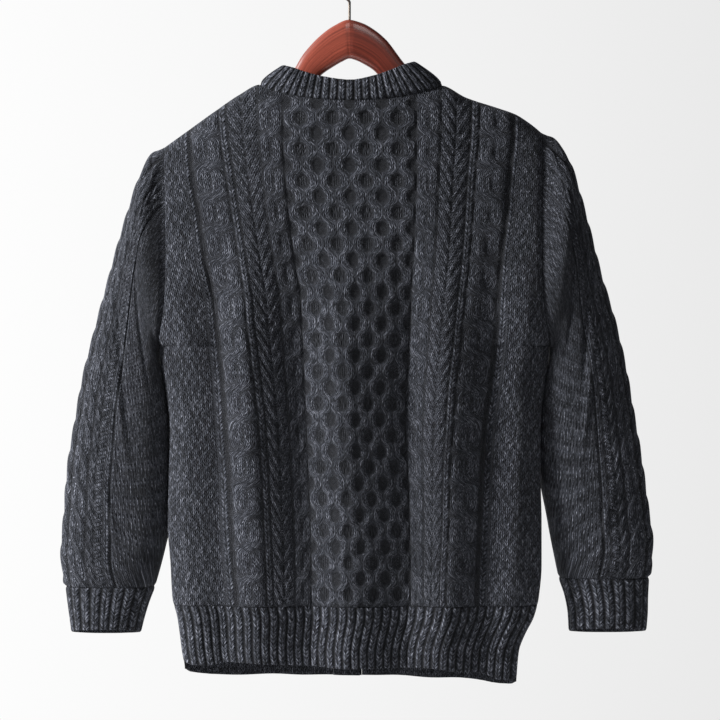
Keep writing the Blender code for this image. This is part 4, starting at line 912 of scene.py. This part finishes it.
# Each row: x and z of the outer line, x and z of the inner line
leftSleeve = np.array([
    (-199.6, -196.8, -204.9, -409.8), (-211.2, -205.8, -206.0, -411.8), (-222.8, -227.3, -206.8, -416.5),
    (-234.3, -259.8, -206.0, -426.0), (-247.7, -302.0, -200.6, -443.0), (-261.1, -349.5, -196.0, -468.0),
    (-273.9, -397.1, -193.0, -499.0), (-285.8, -444.9, -193.0, -532.0), (-294.4, -493.5, -193.4, -565.0),
    (-302.1, -542.2, -193.8, -597.0), (-305.9, -591.3, -199.8, -626.7), (-309.0, -635.6, -205.9, -651.0),
    (-305.5, -669.8, -211.3, -669.8)])
rightSleeve = np.array([
    (207.0, -180.8, 214.0, -409.8), (219.0, -189.8, 215.2, -411.8), (233.3, -210.2, 216.2, -416.5),
    (244.8, -243.4, 216.0, -426.0), (257.2, -286.8, 211.3, -443.0), (270.0, -335.3, 206.4, -468.0),
    (284.3, -383.3, 204.0, -499.0), (295.6, -432.2, 204.4, -532.0), (304.2, -481.6, 207.8, -562.0),
    (312.5, -531.1, 213.2, -590.0), (319.5, -580.8, 218.2, -617.5), (324.8, -625.6, 223.0, -641.7),
    (322.1, -660.1, 226.8, -660.1)])
# Each row: share of the length, outer x, inner x, z, y of the middle, half depth
leftCuff = np.array([(0.0, -305.5, -211.3, -669.8, 28, 28), (0.35, -303.3, -218.3, -688.0, 28, 26),
                     (0.7, -300.7, -223.6, -706.1, 27, 24.5), (1.0, -299.1, -226.8, -719.0, 27, 24)])
rightCuff = np.array([(0.0, 322.1, 226.8, -660.1, 28, 28), (0.35, 321.0, 233.8, -680.5, 28, 26),
                      (0.7, 320.5, 237.0, -698.7, 27, 24.5), (1.0, 318.9, 238.1, -717.9, 27, 24)])

# Creases of a sleeve: share of the length, mm round from the outer line, length along, half width and
# height in mm, and how far it slants
sleeveCreases = {
    "left": ((0.36, 62, 70, 9, -2.4, 0.5), (0.47, 78, 60, 8, 2.0, 0.4), (0.58, 58, 60, 8, -2.0, -0.5),
             (0.70, 70, 50, 7, 1.6, 0.4), (0.42, -60, 70, 9, -2.6, 0.5), (0.55, -70, 60, 8, 2.0, -0.4),
             (0.68, -52, 60, 8, -1.8, 0.4), (0.20, 90, 60, 10, -2.0, 0.7), (0.22, -84, 60, 10, -2.0, 0.6)),
    "right": ((0.33, 66, 70, 9, -2.4, 0.5), (0.45, 80, 60, 8, 2.0, 0.4), (0.60, 60, 60, 8, -2.2, -0.4),
              (0.74, 66, 50, 7, 1.6, 0.4), (0.40, -58, 70, 9, -2.4, -0.5), (0.52, -74, 60, 8, 2.2, 0.5),
              (0.66, -50, 60, 8, -2.0, 0.4), (0.19, 88, 60, 10, -2.2, 0.7), (0.24, -86, 60, 10, -1.8, 0.6)),
}


def flatRing(outer, inner, depth, power, count):
    # superellipse rings, |cos|^(2/power) from the outer to the inner point and |sin|^(2/power) across
    along, side = superellipse(count, 2 / power)
    points = (outer + inner)[:, None, :] / 2 + along[None, :, None] * (outer - inner)[:, None, :] / 2
    points[..., 1] -= side[None, :] * depth[:, None]
    return points, along, side


def onRings(closed, length, at):
    # points at set distances round each ring. One interpolation serves all rings: each ring's lengths are
    # moved on by 10 m times its number, so that the whole list rises
    number = 10.0 * np.arange(len(closed))[:, None]
    sought = (at + number).ravel()
    known = (length + number).ravel()
    found = [np.interp(sought, known, closed[..., k].ravel()) for k in range(3)]
    return np.stack(found, axis=-1).reshape(*at.shape, 3)


def placesOnRings(rings, wanted):
    # points at wanted distances from the outer line, back and front, and those distances, below 0 at the
    # front
    closed = np.concatenate([rings, rings[:, :1]], axis=1)
    length = runLength(closed, axis=1)
    half = length[:, rings.shape[1] // 2]
    whole = length[:, -1]
    back = wanted(half)
    front = wanted(whole - half)
    at = np.concatenate([back, whole[:, None] - front[:, -2:0:-1]], axis=1)
    away = np.concatenate([back, -front[:, -2:0:-1]], axis=1)
    return onRings(closed, length, at), away


def sleeveColumns(half):
    # 1.7 mm apart over the cables, then shares of the way to the inner line
    fixed = np.arange(0, 42) * 0.0017
    rest = np.linspace(0, 1, 47)[1:]
    start = fixed[-1]
    further = start + (half[:, None] - start) * rest
    return np.concatenate([np.repeat(fixed[None], len(half), 0), further], axis=1)


def tubeNormals(grid):
    # outward normals of a closed grid: the step round a ring crossed with the step down the tube
    across = np.roll(grid, -1, axis=1) - np.roll(grid, 1, axis=1)
    down = np.gradient(grid, axis=0)
    normal = unit(np.cross(across, down))
    middle = grid.mean(axis=1, keepdims=True)
    return -normal if np.sum(normal * (grid - middle)) < 0 else normal


def flatNormals(ring, axis):
    # outward normals of a ring within the plane square to an axis
    across = np.roll(ring, -1, axis=0) - np.roll(ring, 1, axis=0)
    across[:, axis] = 0
    square = np.zeros(3)
    square[axis] = 1
    normal = unit(np.cross(across, square))
    return -normal if np.sum(normal * (ring - ring.mean(axis=0))) < 0 else normal


def buildSleeve(name, lines, column, way):
    # rings down the sleeve, its creases (each exp(-(length / reach)^2 - (distance / width)^2)), then the
    # pattern
    shares = np.concatenate([np.linspace(0, 0.08, 30), np.linspace(0.08, 1, 250)[1:]])
    row = [smooth(shares, sleeveForm[:, 0], values) * mm for values in (*lines.T, *sleeveForm[:, 1:].T)]
    outer = np.stack([row[0], row[4], row[1]], axis=-1)
    inner = np.stack([row[2], row[4], row[3]], axis=-1)
    rings, along, side = flatRing(outer, inner, row[5], 2.3, 720)
    # the first rings ease from the armhole's loop on the body
    topX, topZ, lowX, lowZ = lines[0]
    z = (lowZ + (topZ - lowZ) * (1 + along) / 2) * mm
    x = bodyLine(z, column)
    spread = np.where(side > 0, body["backSpread"], body["frontSpread"])
    y = middleY(x, z) - np.sign(side) * halfDepth(x, z, spread)
    straight = (topX + lowX) / 2 * mm + along * (topX - lowX) / 2 * mm
    hold = ease(1 - shares / 0.13)[:, None]
    rings[..., 0] += (x - straight)[None] * hold
    rings[..., 1] = rings[..., 1] * (1 - hold) + y[None] * hold
    rings[0, :, 0] += way * 0.0004
    grid, away = placesOnRings(rings, sleeveColumns)
    grid[-1, :, 2] += body["seam"] / 2
    normal = tubeNormals(grid)
    normal[0] = flatNormals(grid[0], 0)
    normal[-1] = flatNormals(grid[-1], 2)
    length = runLength(grid)
    left = length[-1:] - length
    crease = np.zeros(length.shape)
    for share, around, reach, wide, tall, slant in sleeveCreases["left" if "left" in name else "right"]:
        u = length - share * length[-1, 0]
        v = away - around * mm - slant * u * np.sign(around)
        crease += tall * mm * np.exp(-(u / (reach * mm / 2)) ** 2 - (v / (wide * mm)) ** 2)
    base = grid + normal * (crease * fadeIn(length, 0.03) * fadeIn(left, 0.03))[..., None]
    stitches = away / body["stitch"]
    found = knitPattern(stitches, np.abs(stitches), length, pattern["sleeveCables"], pattern["sleeveMossFrom"])
    height = np.maximum(found[0], 0) * fadeIn(length, 0.010) * fadeIn(left, 0.004)
    shell = base + normal * height[..., None]
    rows = np.concatenate([[0, 2, 5, 9, 14, 20, 27, 34], np.arange(40, len(shares), 7), [len(shares) - 3]])
    rows = np.unique(np.append(rows, len(shares) - 1))
    columns = np.arange(0, grid.shape[1], 3)
    inside = (base - normal * wallDepth(grid))[np.ix_(rows, columns)]
    clothShell(name + "_cloth", name, shell, inside, rows, columns, [height] + found[1:], True)


def buildCuff(name, table):
    # rings of the table's form, evenly spaced points round them, nine to a rib, and a hem that is up to 4 mm
    # higher at the back and lower in front
    shares = np.concatenate([[0, 0.02, 0.05, 0.09], np.linspace(0.14, 0.96, 20), [0.98, 0.993, 1]])
    row = [smooth(shares, table[:, 0], table[:, k]) * mm for k in range(1, 6)]
    outer = np.stack([row[0], row[3], row[2]], axis=-1)
    inner = np.stack([row[1], row[3], row[2]], axis=-1)
    rings, _, side = flatRing(outer, inner, row[4], 2.3, 720)
    rings[..., 2] += side[None, :] * 0.0043 * shares[:, None]
    closed = np.concatenate([rings, rings[:, :1]], axis=1)
    length = runLength(closed, axis=1)
    ribs, ribColumns = 20, 9
    count = ribs * ribColumns
    grid = onRings(closed, length, length[:, -1:] * (np.arange(count) / count)[None])
    grid[0, :, 2] -= body["seam"] / 2
    normal = tubeNormals(grid)
    normal[0] = flatNormals(grid[0], 2)
    distance = np.arange(count)[None] / ribColumns * pattern["ribPitch"]
    rows = np.array([0, 4, 11, 18, len(shares) - 2, len(shares) - 1])
    ribShell(name + "_cloth", name, grid, normal, distance, ribGrow(shares[:, None], 0.06, 0.04),
             -grid[..., 2] / rowHeight, rows, np.arange(0, count, 3), True)


buildSleeve("left_sleeve", leftSleeve, 1, -1)
buildSleeve("right_sleeve", rightSleeve, 8, 1)
buildCuff("left_cuff", leftCuff)
buildCuff("right_cuff", rightCuff)
print("sleeves made")


# Neckband and front bands

# Top edge of the neckband: share of the way from the middle of the back to the front, then x, y, z
bandTop = np.array([
    (-1.00, -17.8, 27.5, -190.2), (-0.92, -24.0, 27.5, -187.6), (-0.80, -37.8, 26.5, -176.5),
    (-0.68, -50.8, 24.5, -156.2), (-0.57, -62.6, 20.0, -130.5), (-0.50, -67.9, 13.0, -115.5),
    (-0.44, -70.1, 3.0, -110.7), (-0.40, -67.9, -5.0, -111.8), (-0.33, -59.4, -10.0, -114.4),
    (-0.24, -47.6, -11.5, -118.7), (-0.12, -26.2, -11.5, -124.1), (0.00, 0.5, -11.0, -127.3),
    (0.12, 26.8, -11.5, -122.5), (0.24, 46.0, -11.5, -115.9), (0.33, 57.8, -10.0, -110.9),
    (0.40, 66.3, -5.0, -108.0), (0.44, 68.5, 3.0, -106.9), (0.50, 66.3, 13.0, -111.8),
    (0.57, 61.0, 20.0, -126.8), (0.68, 51.4, 24.5, -153.2), (0.80, 36.4, 26.5, -174.4),
    (0.92, 21.0, 27.5, -187.0), (1.00, 13.3, 27.5, -190.2)])
bandHeight = 0.024
bandsTop = -0.1902


def neckSeam():
    # the top rows of the three panels between the shoulders, in order round the neck
    points = []
    normals = []
    for name in ("left_front", "back", "right_front"):
        base, normal = seams[name]
        x = base[0, :, 0]
        inside = np.flatnonzero((x >= backNeck[0, 0] - 1e-4) & (x <= backNeck[-1, 0] + 1e-4))
        order = inside if name == "back" else inside[::-1]
        points.append(base[0, order])
        normals.append(normal[0, order])
    return np.concatenate(points), np.concatenate(normals)


def buildNeckband():
    # straight up from the neck seam to the top edge, swelling by sin(pi * share ^ 0.65) between them
    seam, seamNormal = neckSeam()
    length = runLength(seam)
    at = np.linspace(0, length[-1], 460)
    low = np.stack([np.interp(at, length, seam[:, k]) for k in range(3)], axis=-1)
    lowNormal = unit(np.stack([np.interp(at, length, seamNormal[:, k]) for k in range(3)], axis=-1))
    centre = length[np.argmin(np.abs(seam[:, 0]) + (seam[:, 1] > 0) * 10)]
    share = np.where(at < centre, (at - centre) / centre, (at - centre) / (length[-1] - centre))
    high = np.stack([smooth(share, bandTop[:, 0], bandTop[:, k] * mm) for k in (1, 2, 3)], axis=-1)
    along = high - low
    along = along - np.sum(along * lowNormal, axis=1, keepdims=True) * lowNormal
    along[(0, -1), 0] = 0
    low = low + unit(along) * body["seam"]
    up = np.concatenate([np.linspace(0, 0.90, 13), [0.95, 0.985, 1]])[:, None, None]
    grid = low[None] + up * (high - low)[None]
    ends = np.clip(np.minimum(at, length[-1] - at) / 0.03, 0, 1)
    across = np.gradient(grid, axis=1)
    normal = unit(np.cross(np.broadcast_to((low - high)[None], grid.shape), across))
    if normal[0, len(at) // 2, 1] > 0:
        normal = -normal
    # bulges out a little, most at a third of its height, and leaves the seam square to it
    turn = np.clip(up / 0.3, 0, 1)
    normal = unit(normal * turn + lowNormal[None] * (1 - turn))
    swell = 0.0020 * np.sin(math.pi * np.clip(up, 0, 1) ** 0.65)
    grid = grid + normal * swell * ends[None, :, None]
    grid[:, 0, 0] = body["leftFrontEdge"]
    grid[:, -1, 0] = body["rightFrontEdge"]
    normal[:, (0, -1), 0] = 0
    normal = unit(normal)
    level = up[:, :, 0]
    rows = np.array([0, 4, 8, 12, 14, 15])
    ribShell("neckband_cloth", "neckband", grid, normal, at[None], ribGrow(level, 0.08, 0.1),
             -level * bandHeight / rowHeight + 0 * at[None], rows, kept(len(at), 4), False)


def buildBand(name, node, left, right, stepDown):
    # ribs run across the band, as when stitches are picked up along the front edge
    x = np.linspace(left, right, 19)[None, :]
    rows = 520
    share = np.linspace(0, 1, rows)[:, None]
    hem = smooth(x, frontHem[:, 0], frontHem[:, 1])
    z = bandsTop + (hem - bandsTop) * share
    x = x + 0 * z
    y = panelY(x, z, 1) - stepDown(x)
    e = 0.0004
    slopeX = (panelY(x + e, z, 1) - stepDown(x + e) - panelY(x - e, z, 1) + stepDown(x - e)) / (2 * e)
    slopeZ = (panelY(x, z + e, 1) - panelY(x, z - e, 1)) / (2 * e)
    normal = np.stack([-slopeX, np.ones_like(x), -slopeZ], axis=-1)
    normal[:, (0, -1), 0] = 0
    normal = unit(normal)
    grid = np.stack([x, y, z], axis=-1)
    height, a, deep = ribProfile(-z)
    height = 0.0012 * (height - 0.5) * np.sqrt(fadeIn(np.minimum(x - left, right - x), 0.003))
    shell = grid + normal * height[..., None]
    few = np.array([0, 1, 6, 12, 17, 18])
    keptRows = kept(rows, 10, 4)
    inside = (grid - normal * body["wall"])[np.ix_(keptRows, few)]
    # painted shade: the band counts as 1.4 mm higher, and is darker in the ribs' furrows
    found = [0.0014 + height, a, x / rowHeight, deep]
    clothShell(name, node, shell, inside, keptRows, few, found, False)


buildNeckband()
buildBand("buttonhole_band_cloth", "buttonhole_band", -0.0130, 0.0130, lambda x: 0 * x)
buildBand("button_band_cloth", "button_band", -0.0175, 0.0110,
          lambda x: 0.0034 * np.clip((x + 0.0175) / 0.0035, 0, 1))
print("bands made")


# Buttons

buttons = {"rows": (-0.2080, -0.3120, -0.4160, -0.5200, -0.6240, -0.7280), "radius": 0.0110, "height": 0.0036,
           "face": 0.62, "holeRadius": 0.0011, "holeAway": 0.0028, "holeDepth": 0.0013, "lift": 0.00035,
           "thread": 0.00045, "threadRings": 17, "threadTurns": 8}


def turnedTo(points, z):
    # lays a button, made flat with its face up, on the outer band at height z
    e = 0.004
    zero = np.array(0.0)
    slope = float(panelY(zero, np.array(z + e), 1) - panelY(zero, np.array(z - e), 1)) / (2 * e)
    tilt = math.atan(slope)
    y0 = float(panelY(zero, np.array(z), 1))
    out = points[..., 2] + buttons["lift"]
    up = points[..., 1]
    return np.stack([points[..., 0], y0 + out * math.cos(tilt) + up * math.sin(tilt),
                     z + up * math.cos(tilt) - out * math.sin(tilt)], axis=-1)


def buildButton(number, z):
    # a turned profile, with four holes pressed into its face by a smooth step of the distance to each hole
    radius, tall = buttons["radius"], buttons["height"]
    # shares of the radius and of the height: the flat back, the rim, and the dished face
    profile = np.array([(0, 0), (0.5, 0), (0.86, 0.0), (0.94, 0.12), (1.0, 0.42), (1.0, 0.62), (0.97, 0.88),
                        (0.90, 1.0), (0.82, 0.96), (0.74, 0.78), (0.68, 0.66), (0.60, 0.62)])
    face = np.stack([np.linspace(0.57, 0.0, 16), np.full(16, buttons["face"])], axis=-1)
    profile = np.concatenate([profile, face])
    turns = 48
    angle = 2 * math.pi * np.arange(turns) / turns
    r = profile[1:-1, 0][:, None] * radius
    x = r * np.cos(angle)
    y = r * np.sin(angle)
    h = profile[1:-1, 1][:, None] * tall + 0 * x
    top = (np.arange(len(h)) > 9)[:, None]
    for k in range(4):
        a = math.pi / 4 + k * math.pi / 2
        away = np.hypot(x - math.cos(a) * buttons["holeAway"], y - math.sin(a) * buttons["holeAway"])
        h = np.where(top, h - buttons["holeDepth"] * ease(1.5 - away / buttons["holeRadius"]), h)
    ring = np.stack([x, y, h], axis=-1).reshape(-1, 3)
    ends = np.array([(0, 0, 0), (0, 0, buttons["face"] * tall)])
    points = turnedTo(np.concatenate([ring, ends]), z)
    node = "button_" + str(number)
    finishMesh(node + "_turned", points, gridFaces(len(h), turns, 0, True), endCaps(len(h), turns),
               np.zeros((len(points), 2)), np.zeros(len(points)), node, horn)


def buildThread(number, z):
    # two bars of yarn between the holes: an arch over the button's face that dips into the holes
    count, turns = buttons["threadRings"], buttons["threadTurns"]
    across = np.linspace(-1, 1, count)
    half = buttons["holeAway"] * math.cos(math.pi / 4)
    rise = buttons["face"] * buttons["height"] + 0.0006 - 0.0012 * across ** 6
    width = np.full(count, buttons["thread"])
    bars = [roundBar(np.stack([across * half, np.full(count, way * half), rise], axis=-1), width, turns)
            for way in (-1, 1)]
    quads = gridFaces(count, turns, 0, True)
    caps = endCaps(count, turns)
    faces = []
    for shift in (0, len(bars[0])):
        faces += (quads + shift).tolist() + (caps + shift).tolist()
    name = "thread_" + str(number)
    addPiece(name, newMesh(name, turnedTo(np.concatenate(bars), z), faces), yarnPlain)


for number, z in enumerate(buttons["rows"]):
    buildButton(number + 1, z)
    buildThread(number + 1, z)
print("buttons made")


# Hanger

# Each row: x and z of the upper edge, x and z of the lower edge
woodSections = np.array([
    (-201.7, -205.9, -192.1, -221.9), (-181.4, -190.7, -170.1, -208.4), (-150.0, -169.3, -138.5, -188.3),
    (-118.2, -149.4, -106.5, -169.7), (-93.6, -138.9, -81.9, -160.7), (-74.4, -127.6, -58.3, -151.2),
    (-61.5, -117.6, -42.3, -141.2), (-49.8, -99.1, -32.1, -123.0), (-32.1, -79.7, -16.6, -111.8),
    (-16.6, -68.4, -8.0, -106.9), (-1.1, -62.0, -0.1, -103.7), (13.4, -65.5, 8.0, -105.9),
    (26.2, -72.5, 16.6, -110.2), (39.1, -83.2, 25.1, -115.5), (58.3, -108.0, 40.1, -131.6),
    (74.4, -125.0, 59.4, -147.8), (94.7, -138.8, 82.9, -161.2), (118.2, -148.9, 108.6, -170.1),
    (150.0, -160.6, 142.6, -180.6), (177.7, -169.8, 169.0, -187.7), (202.0, -186.0, 193.0, -201.5)]) * mm
hanger = {"half": 0.0065, "rows": 141, "turns": 40, "round": 0.72, "creaseDeep": 0.10, "creaseWide": 0.0022,
          "wire": 0.0014, "wireTurns": 16, "crook": 0.0204, "crookFrom": -28, "crookTurn": 243,
          "crookZ": -0.0190, "bendEnd": -0.0440}


def buildWood():
    # superellipse sections across a centre line; the two arms meet in a crease at the middle
    t = np.linspace(0, len(woodSections) - 1, hanger["rows"])
    key = np.arange(len(woodSections))
    edge = [smooth(t, key, woodSections[:, k]) for k in range(4)]
    top = np.stack([edge[0], 0 * t, edge[1]], axis=-1)
    low = np.stack([edge[2], 0 * t, edge[3]], axis=-1)
    centre = (top + low) / 2
    centre[:, 1] = hangerY(centre[:, 0])
    up = (top - low) / 2
    turns = hanger["turns"]
    c, s = superellipse(turns, hanger["round"])
    tip = np.minimum(t, len(woodSections) - 1 - t)
    thin = np.sqrt(np.clip(0.35 + tip / 0.6, 0, 1))[:, None]
    crease = 1 - hanger["creaseDeep"] * np.exp(-(centre[:, 0] / hanger["creaseWide"]) ** 2)[:, None]
    points = centre[:, None, :] + up[:, None, :] * (c[None] * thin)[..., None]
    points[..., 1] += s[None] * hanger["half"] * thin * crease
    beyond = (centre[[0, -1]] - centre[[4, -5]]) * 0.15
    ends = centre[[0, -1]] + beyond
    # the grain's coordinates: distance along the arms, and round the section in metres
    distance = runLength(centre)[:, None]
    uv = np.stack([distance + 0 * c[None], c[None] * 0.021 + s[None] * 0.004 + 0 * distance], axis=-1)
    uv = np.concatenate([uv.reshape(-1, 2), np.zeros((2, 2))])
    # painted shade: 1 on the right arm, which the wood's material darkens, and 0 on the left
    half = fadeIn(0.0006 + centre[:, 0], 0.0012)[:, None] + 0 * c[None]
    return finishMesh("hanger_wood_shaped", np.concatenate([points.reshape(-1, 3), ends]),
                      gridFaces(len(t), turns, 0, True), endCaps(len(t), turns), uv,
                      np.concatenate([half.ravel(), [0, 1]]), "hanger_wood", wood)


def buildHook():
    # an arc round the rail, easing into a straight stem, swept by a round wire whose tip is rounded
    angle = np.radians(hanger["crookFrom"] + hanger["crookTurn"] * np.linspace(0, 1, 60))
    radius = hanger["crook"]
    crook = np.stack([radius * np.cos(angle), 0 * angle, hanger["crookZ"] + radius * np.sin(angle)], axis=-1)
    t = np.linspace(0, 1, 14)[1:]
    endX, _, endZ = crook[-1]
    bend = np.stack([endX * (1 - ease(t)) ** 1.2, 0 * t, endZ + (hanger["bendEnd"] - endZ) * t], axis=-1)
    stem = np.array([(0, 0, -0.050), (0, 0, -0.056), (0, 0, -0.066), (0, 0, -0.0755)])
    path = np.concatenate([crook, bend, stem])
    width = np.full(len(path), hanger["wire"])
    width[:2] *= (0.55, 0.9)
    points = roundBar(path, width, hanger["wireTurns"])
    finishMesh("hanger_hook_wire", points, gridFaces(len(path), hanger["wireTurns"], 0, True),
               endCaps(len(path), hanger["wireTurns"]), np.zeros((len(points), 2)), np.zeros(len(points)),
               "hanger_hook", wire)


buildWood()
buildHook()
print("hanger made")


# Light and floor

# each lamp: x, y, z, size, power
studio = {"pale": 0.30, "behind": 0.61, "aside": -0.55, "floorZ": -1.1, "floorRadius": 1.4, "floorTurns": 96,
          "key": (-2.75, -1.02, 0.75, 0.7, 200.0), "fill": (0.6, -2.3, 1.5, 1.2, 14.0)}


def addArea(name, x, y, z, size, power):
    # a round lamp that looks at the garment's middle
    light = bpy.data.lights.new(name, "AREA")
    light.shape = "DISK"
    light.size = size
    light.energy = power
    lamp = bpy.data.objects.new(name, light)
    lamp.location = (x, y, z)
    aim = np.array([view["x"] - x, -y, view["z"] - z])
    tilt = math.acos(-aim[2] / np.linalg.norm(aim))
    lamp.rotation_euler = (tilt, 0, math.atan2(aim[1], aim[0]) - math.pi / 2)
    bpy.context.scene.collection.objects.link(lamp)


def buildStudio():
    # a white room, brightest behind the garment and on its left: pale + behind * y + aside * x of the
    # direction, with a soft lamp high on the left and a larger, weak one on the right
    world = bpy.data.worlds.new("paleRoom")
    world.use_nodes = True
    tree = world.node_tree
    away = addNode(tree, "ShaderNodeTexCoord")
    parts = addNode(tree, "ShaderNodeSeparateXYZ", None, {0: (away, "Generated")})
    deep = addNode(tree, "ShaderNodeMath", {"operation": "MULTIPLY_ADD"},
                   {0: (parts, 1), 1: studio["behind"], 2: studio["pale"]})
    turned = addNode(tree, "ShaderNodeMath", {"operation": "MULTIPLY_ADD"},
                     {0: (parts, 0), 1: studio["aside"], 2: (deep, 0)})
    glow = addNode(tree, "ShaderNodeMath", {"operation": "MAXIMUM"}, {0: (turned, 0), 1: 0.03})
    tree.links.new(glow.outputs[0], tree.nodes["Background"].inputs[1])
    tree.nodes["Background"].inputs[0].default_value = (1.0, 1.0, 1.0, 1.0)
    bpy.context.scene.world = world
    addArea("key", *studio["key"])
    addArea("fill", *studio["fill"])
    turns = studio["floorTurns"]
    angle = 2 * math.pi * np.arange(turns) / turns
    rim = np.stack([np.cos(angle), np.sin(angle), 0 * angle], axis=-1) * studio["floorRadius"]
    rim[:, 2] = studio["floorZ"]
    mesh = bpy.data.meshes.new("floor")
    mesh.from_pydata(rim.tolist(), [], [tuple(range(turns))])
    # matt wall paint, plain and pale
    paint, _, _ = newMaterial("paleMattPaint", {"Base Color": hexColour("#e9e9ea"), "Roughness": 0.85})
    mesh.materials.append(paint)
    floor = bpy.data.objects.new("floor", mesh)
    bpy.context.scene.collection.objects.link(floor)


buildStudio()
bpy.context.scene.view_settings.view_transform = "Standard"
print("studio made")
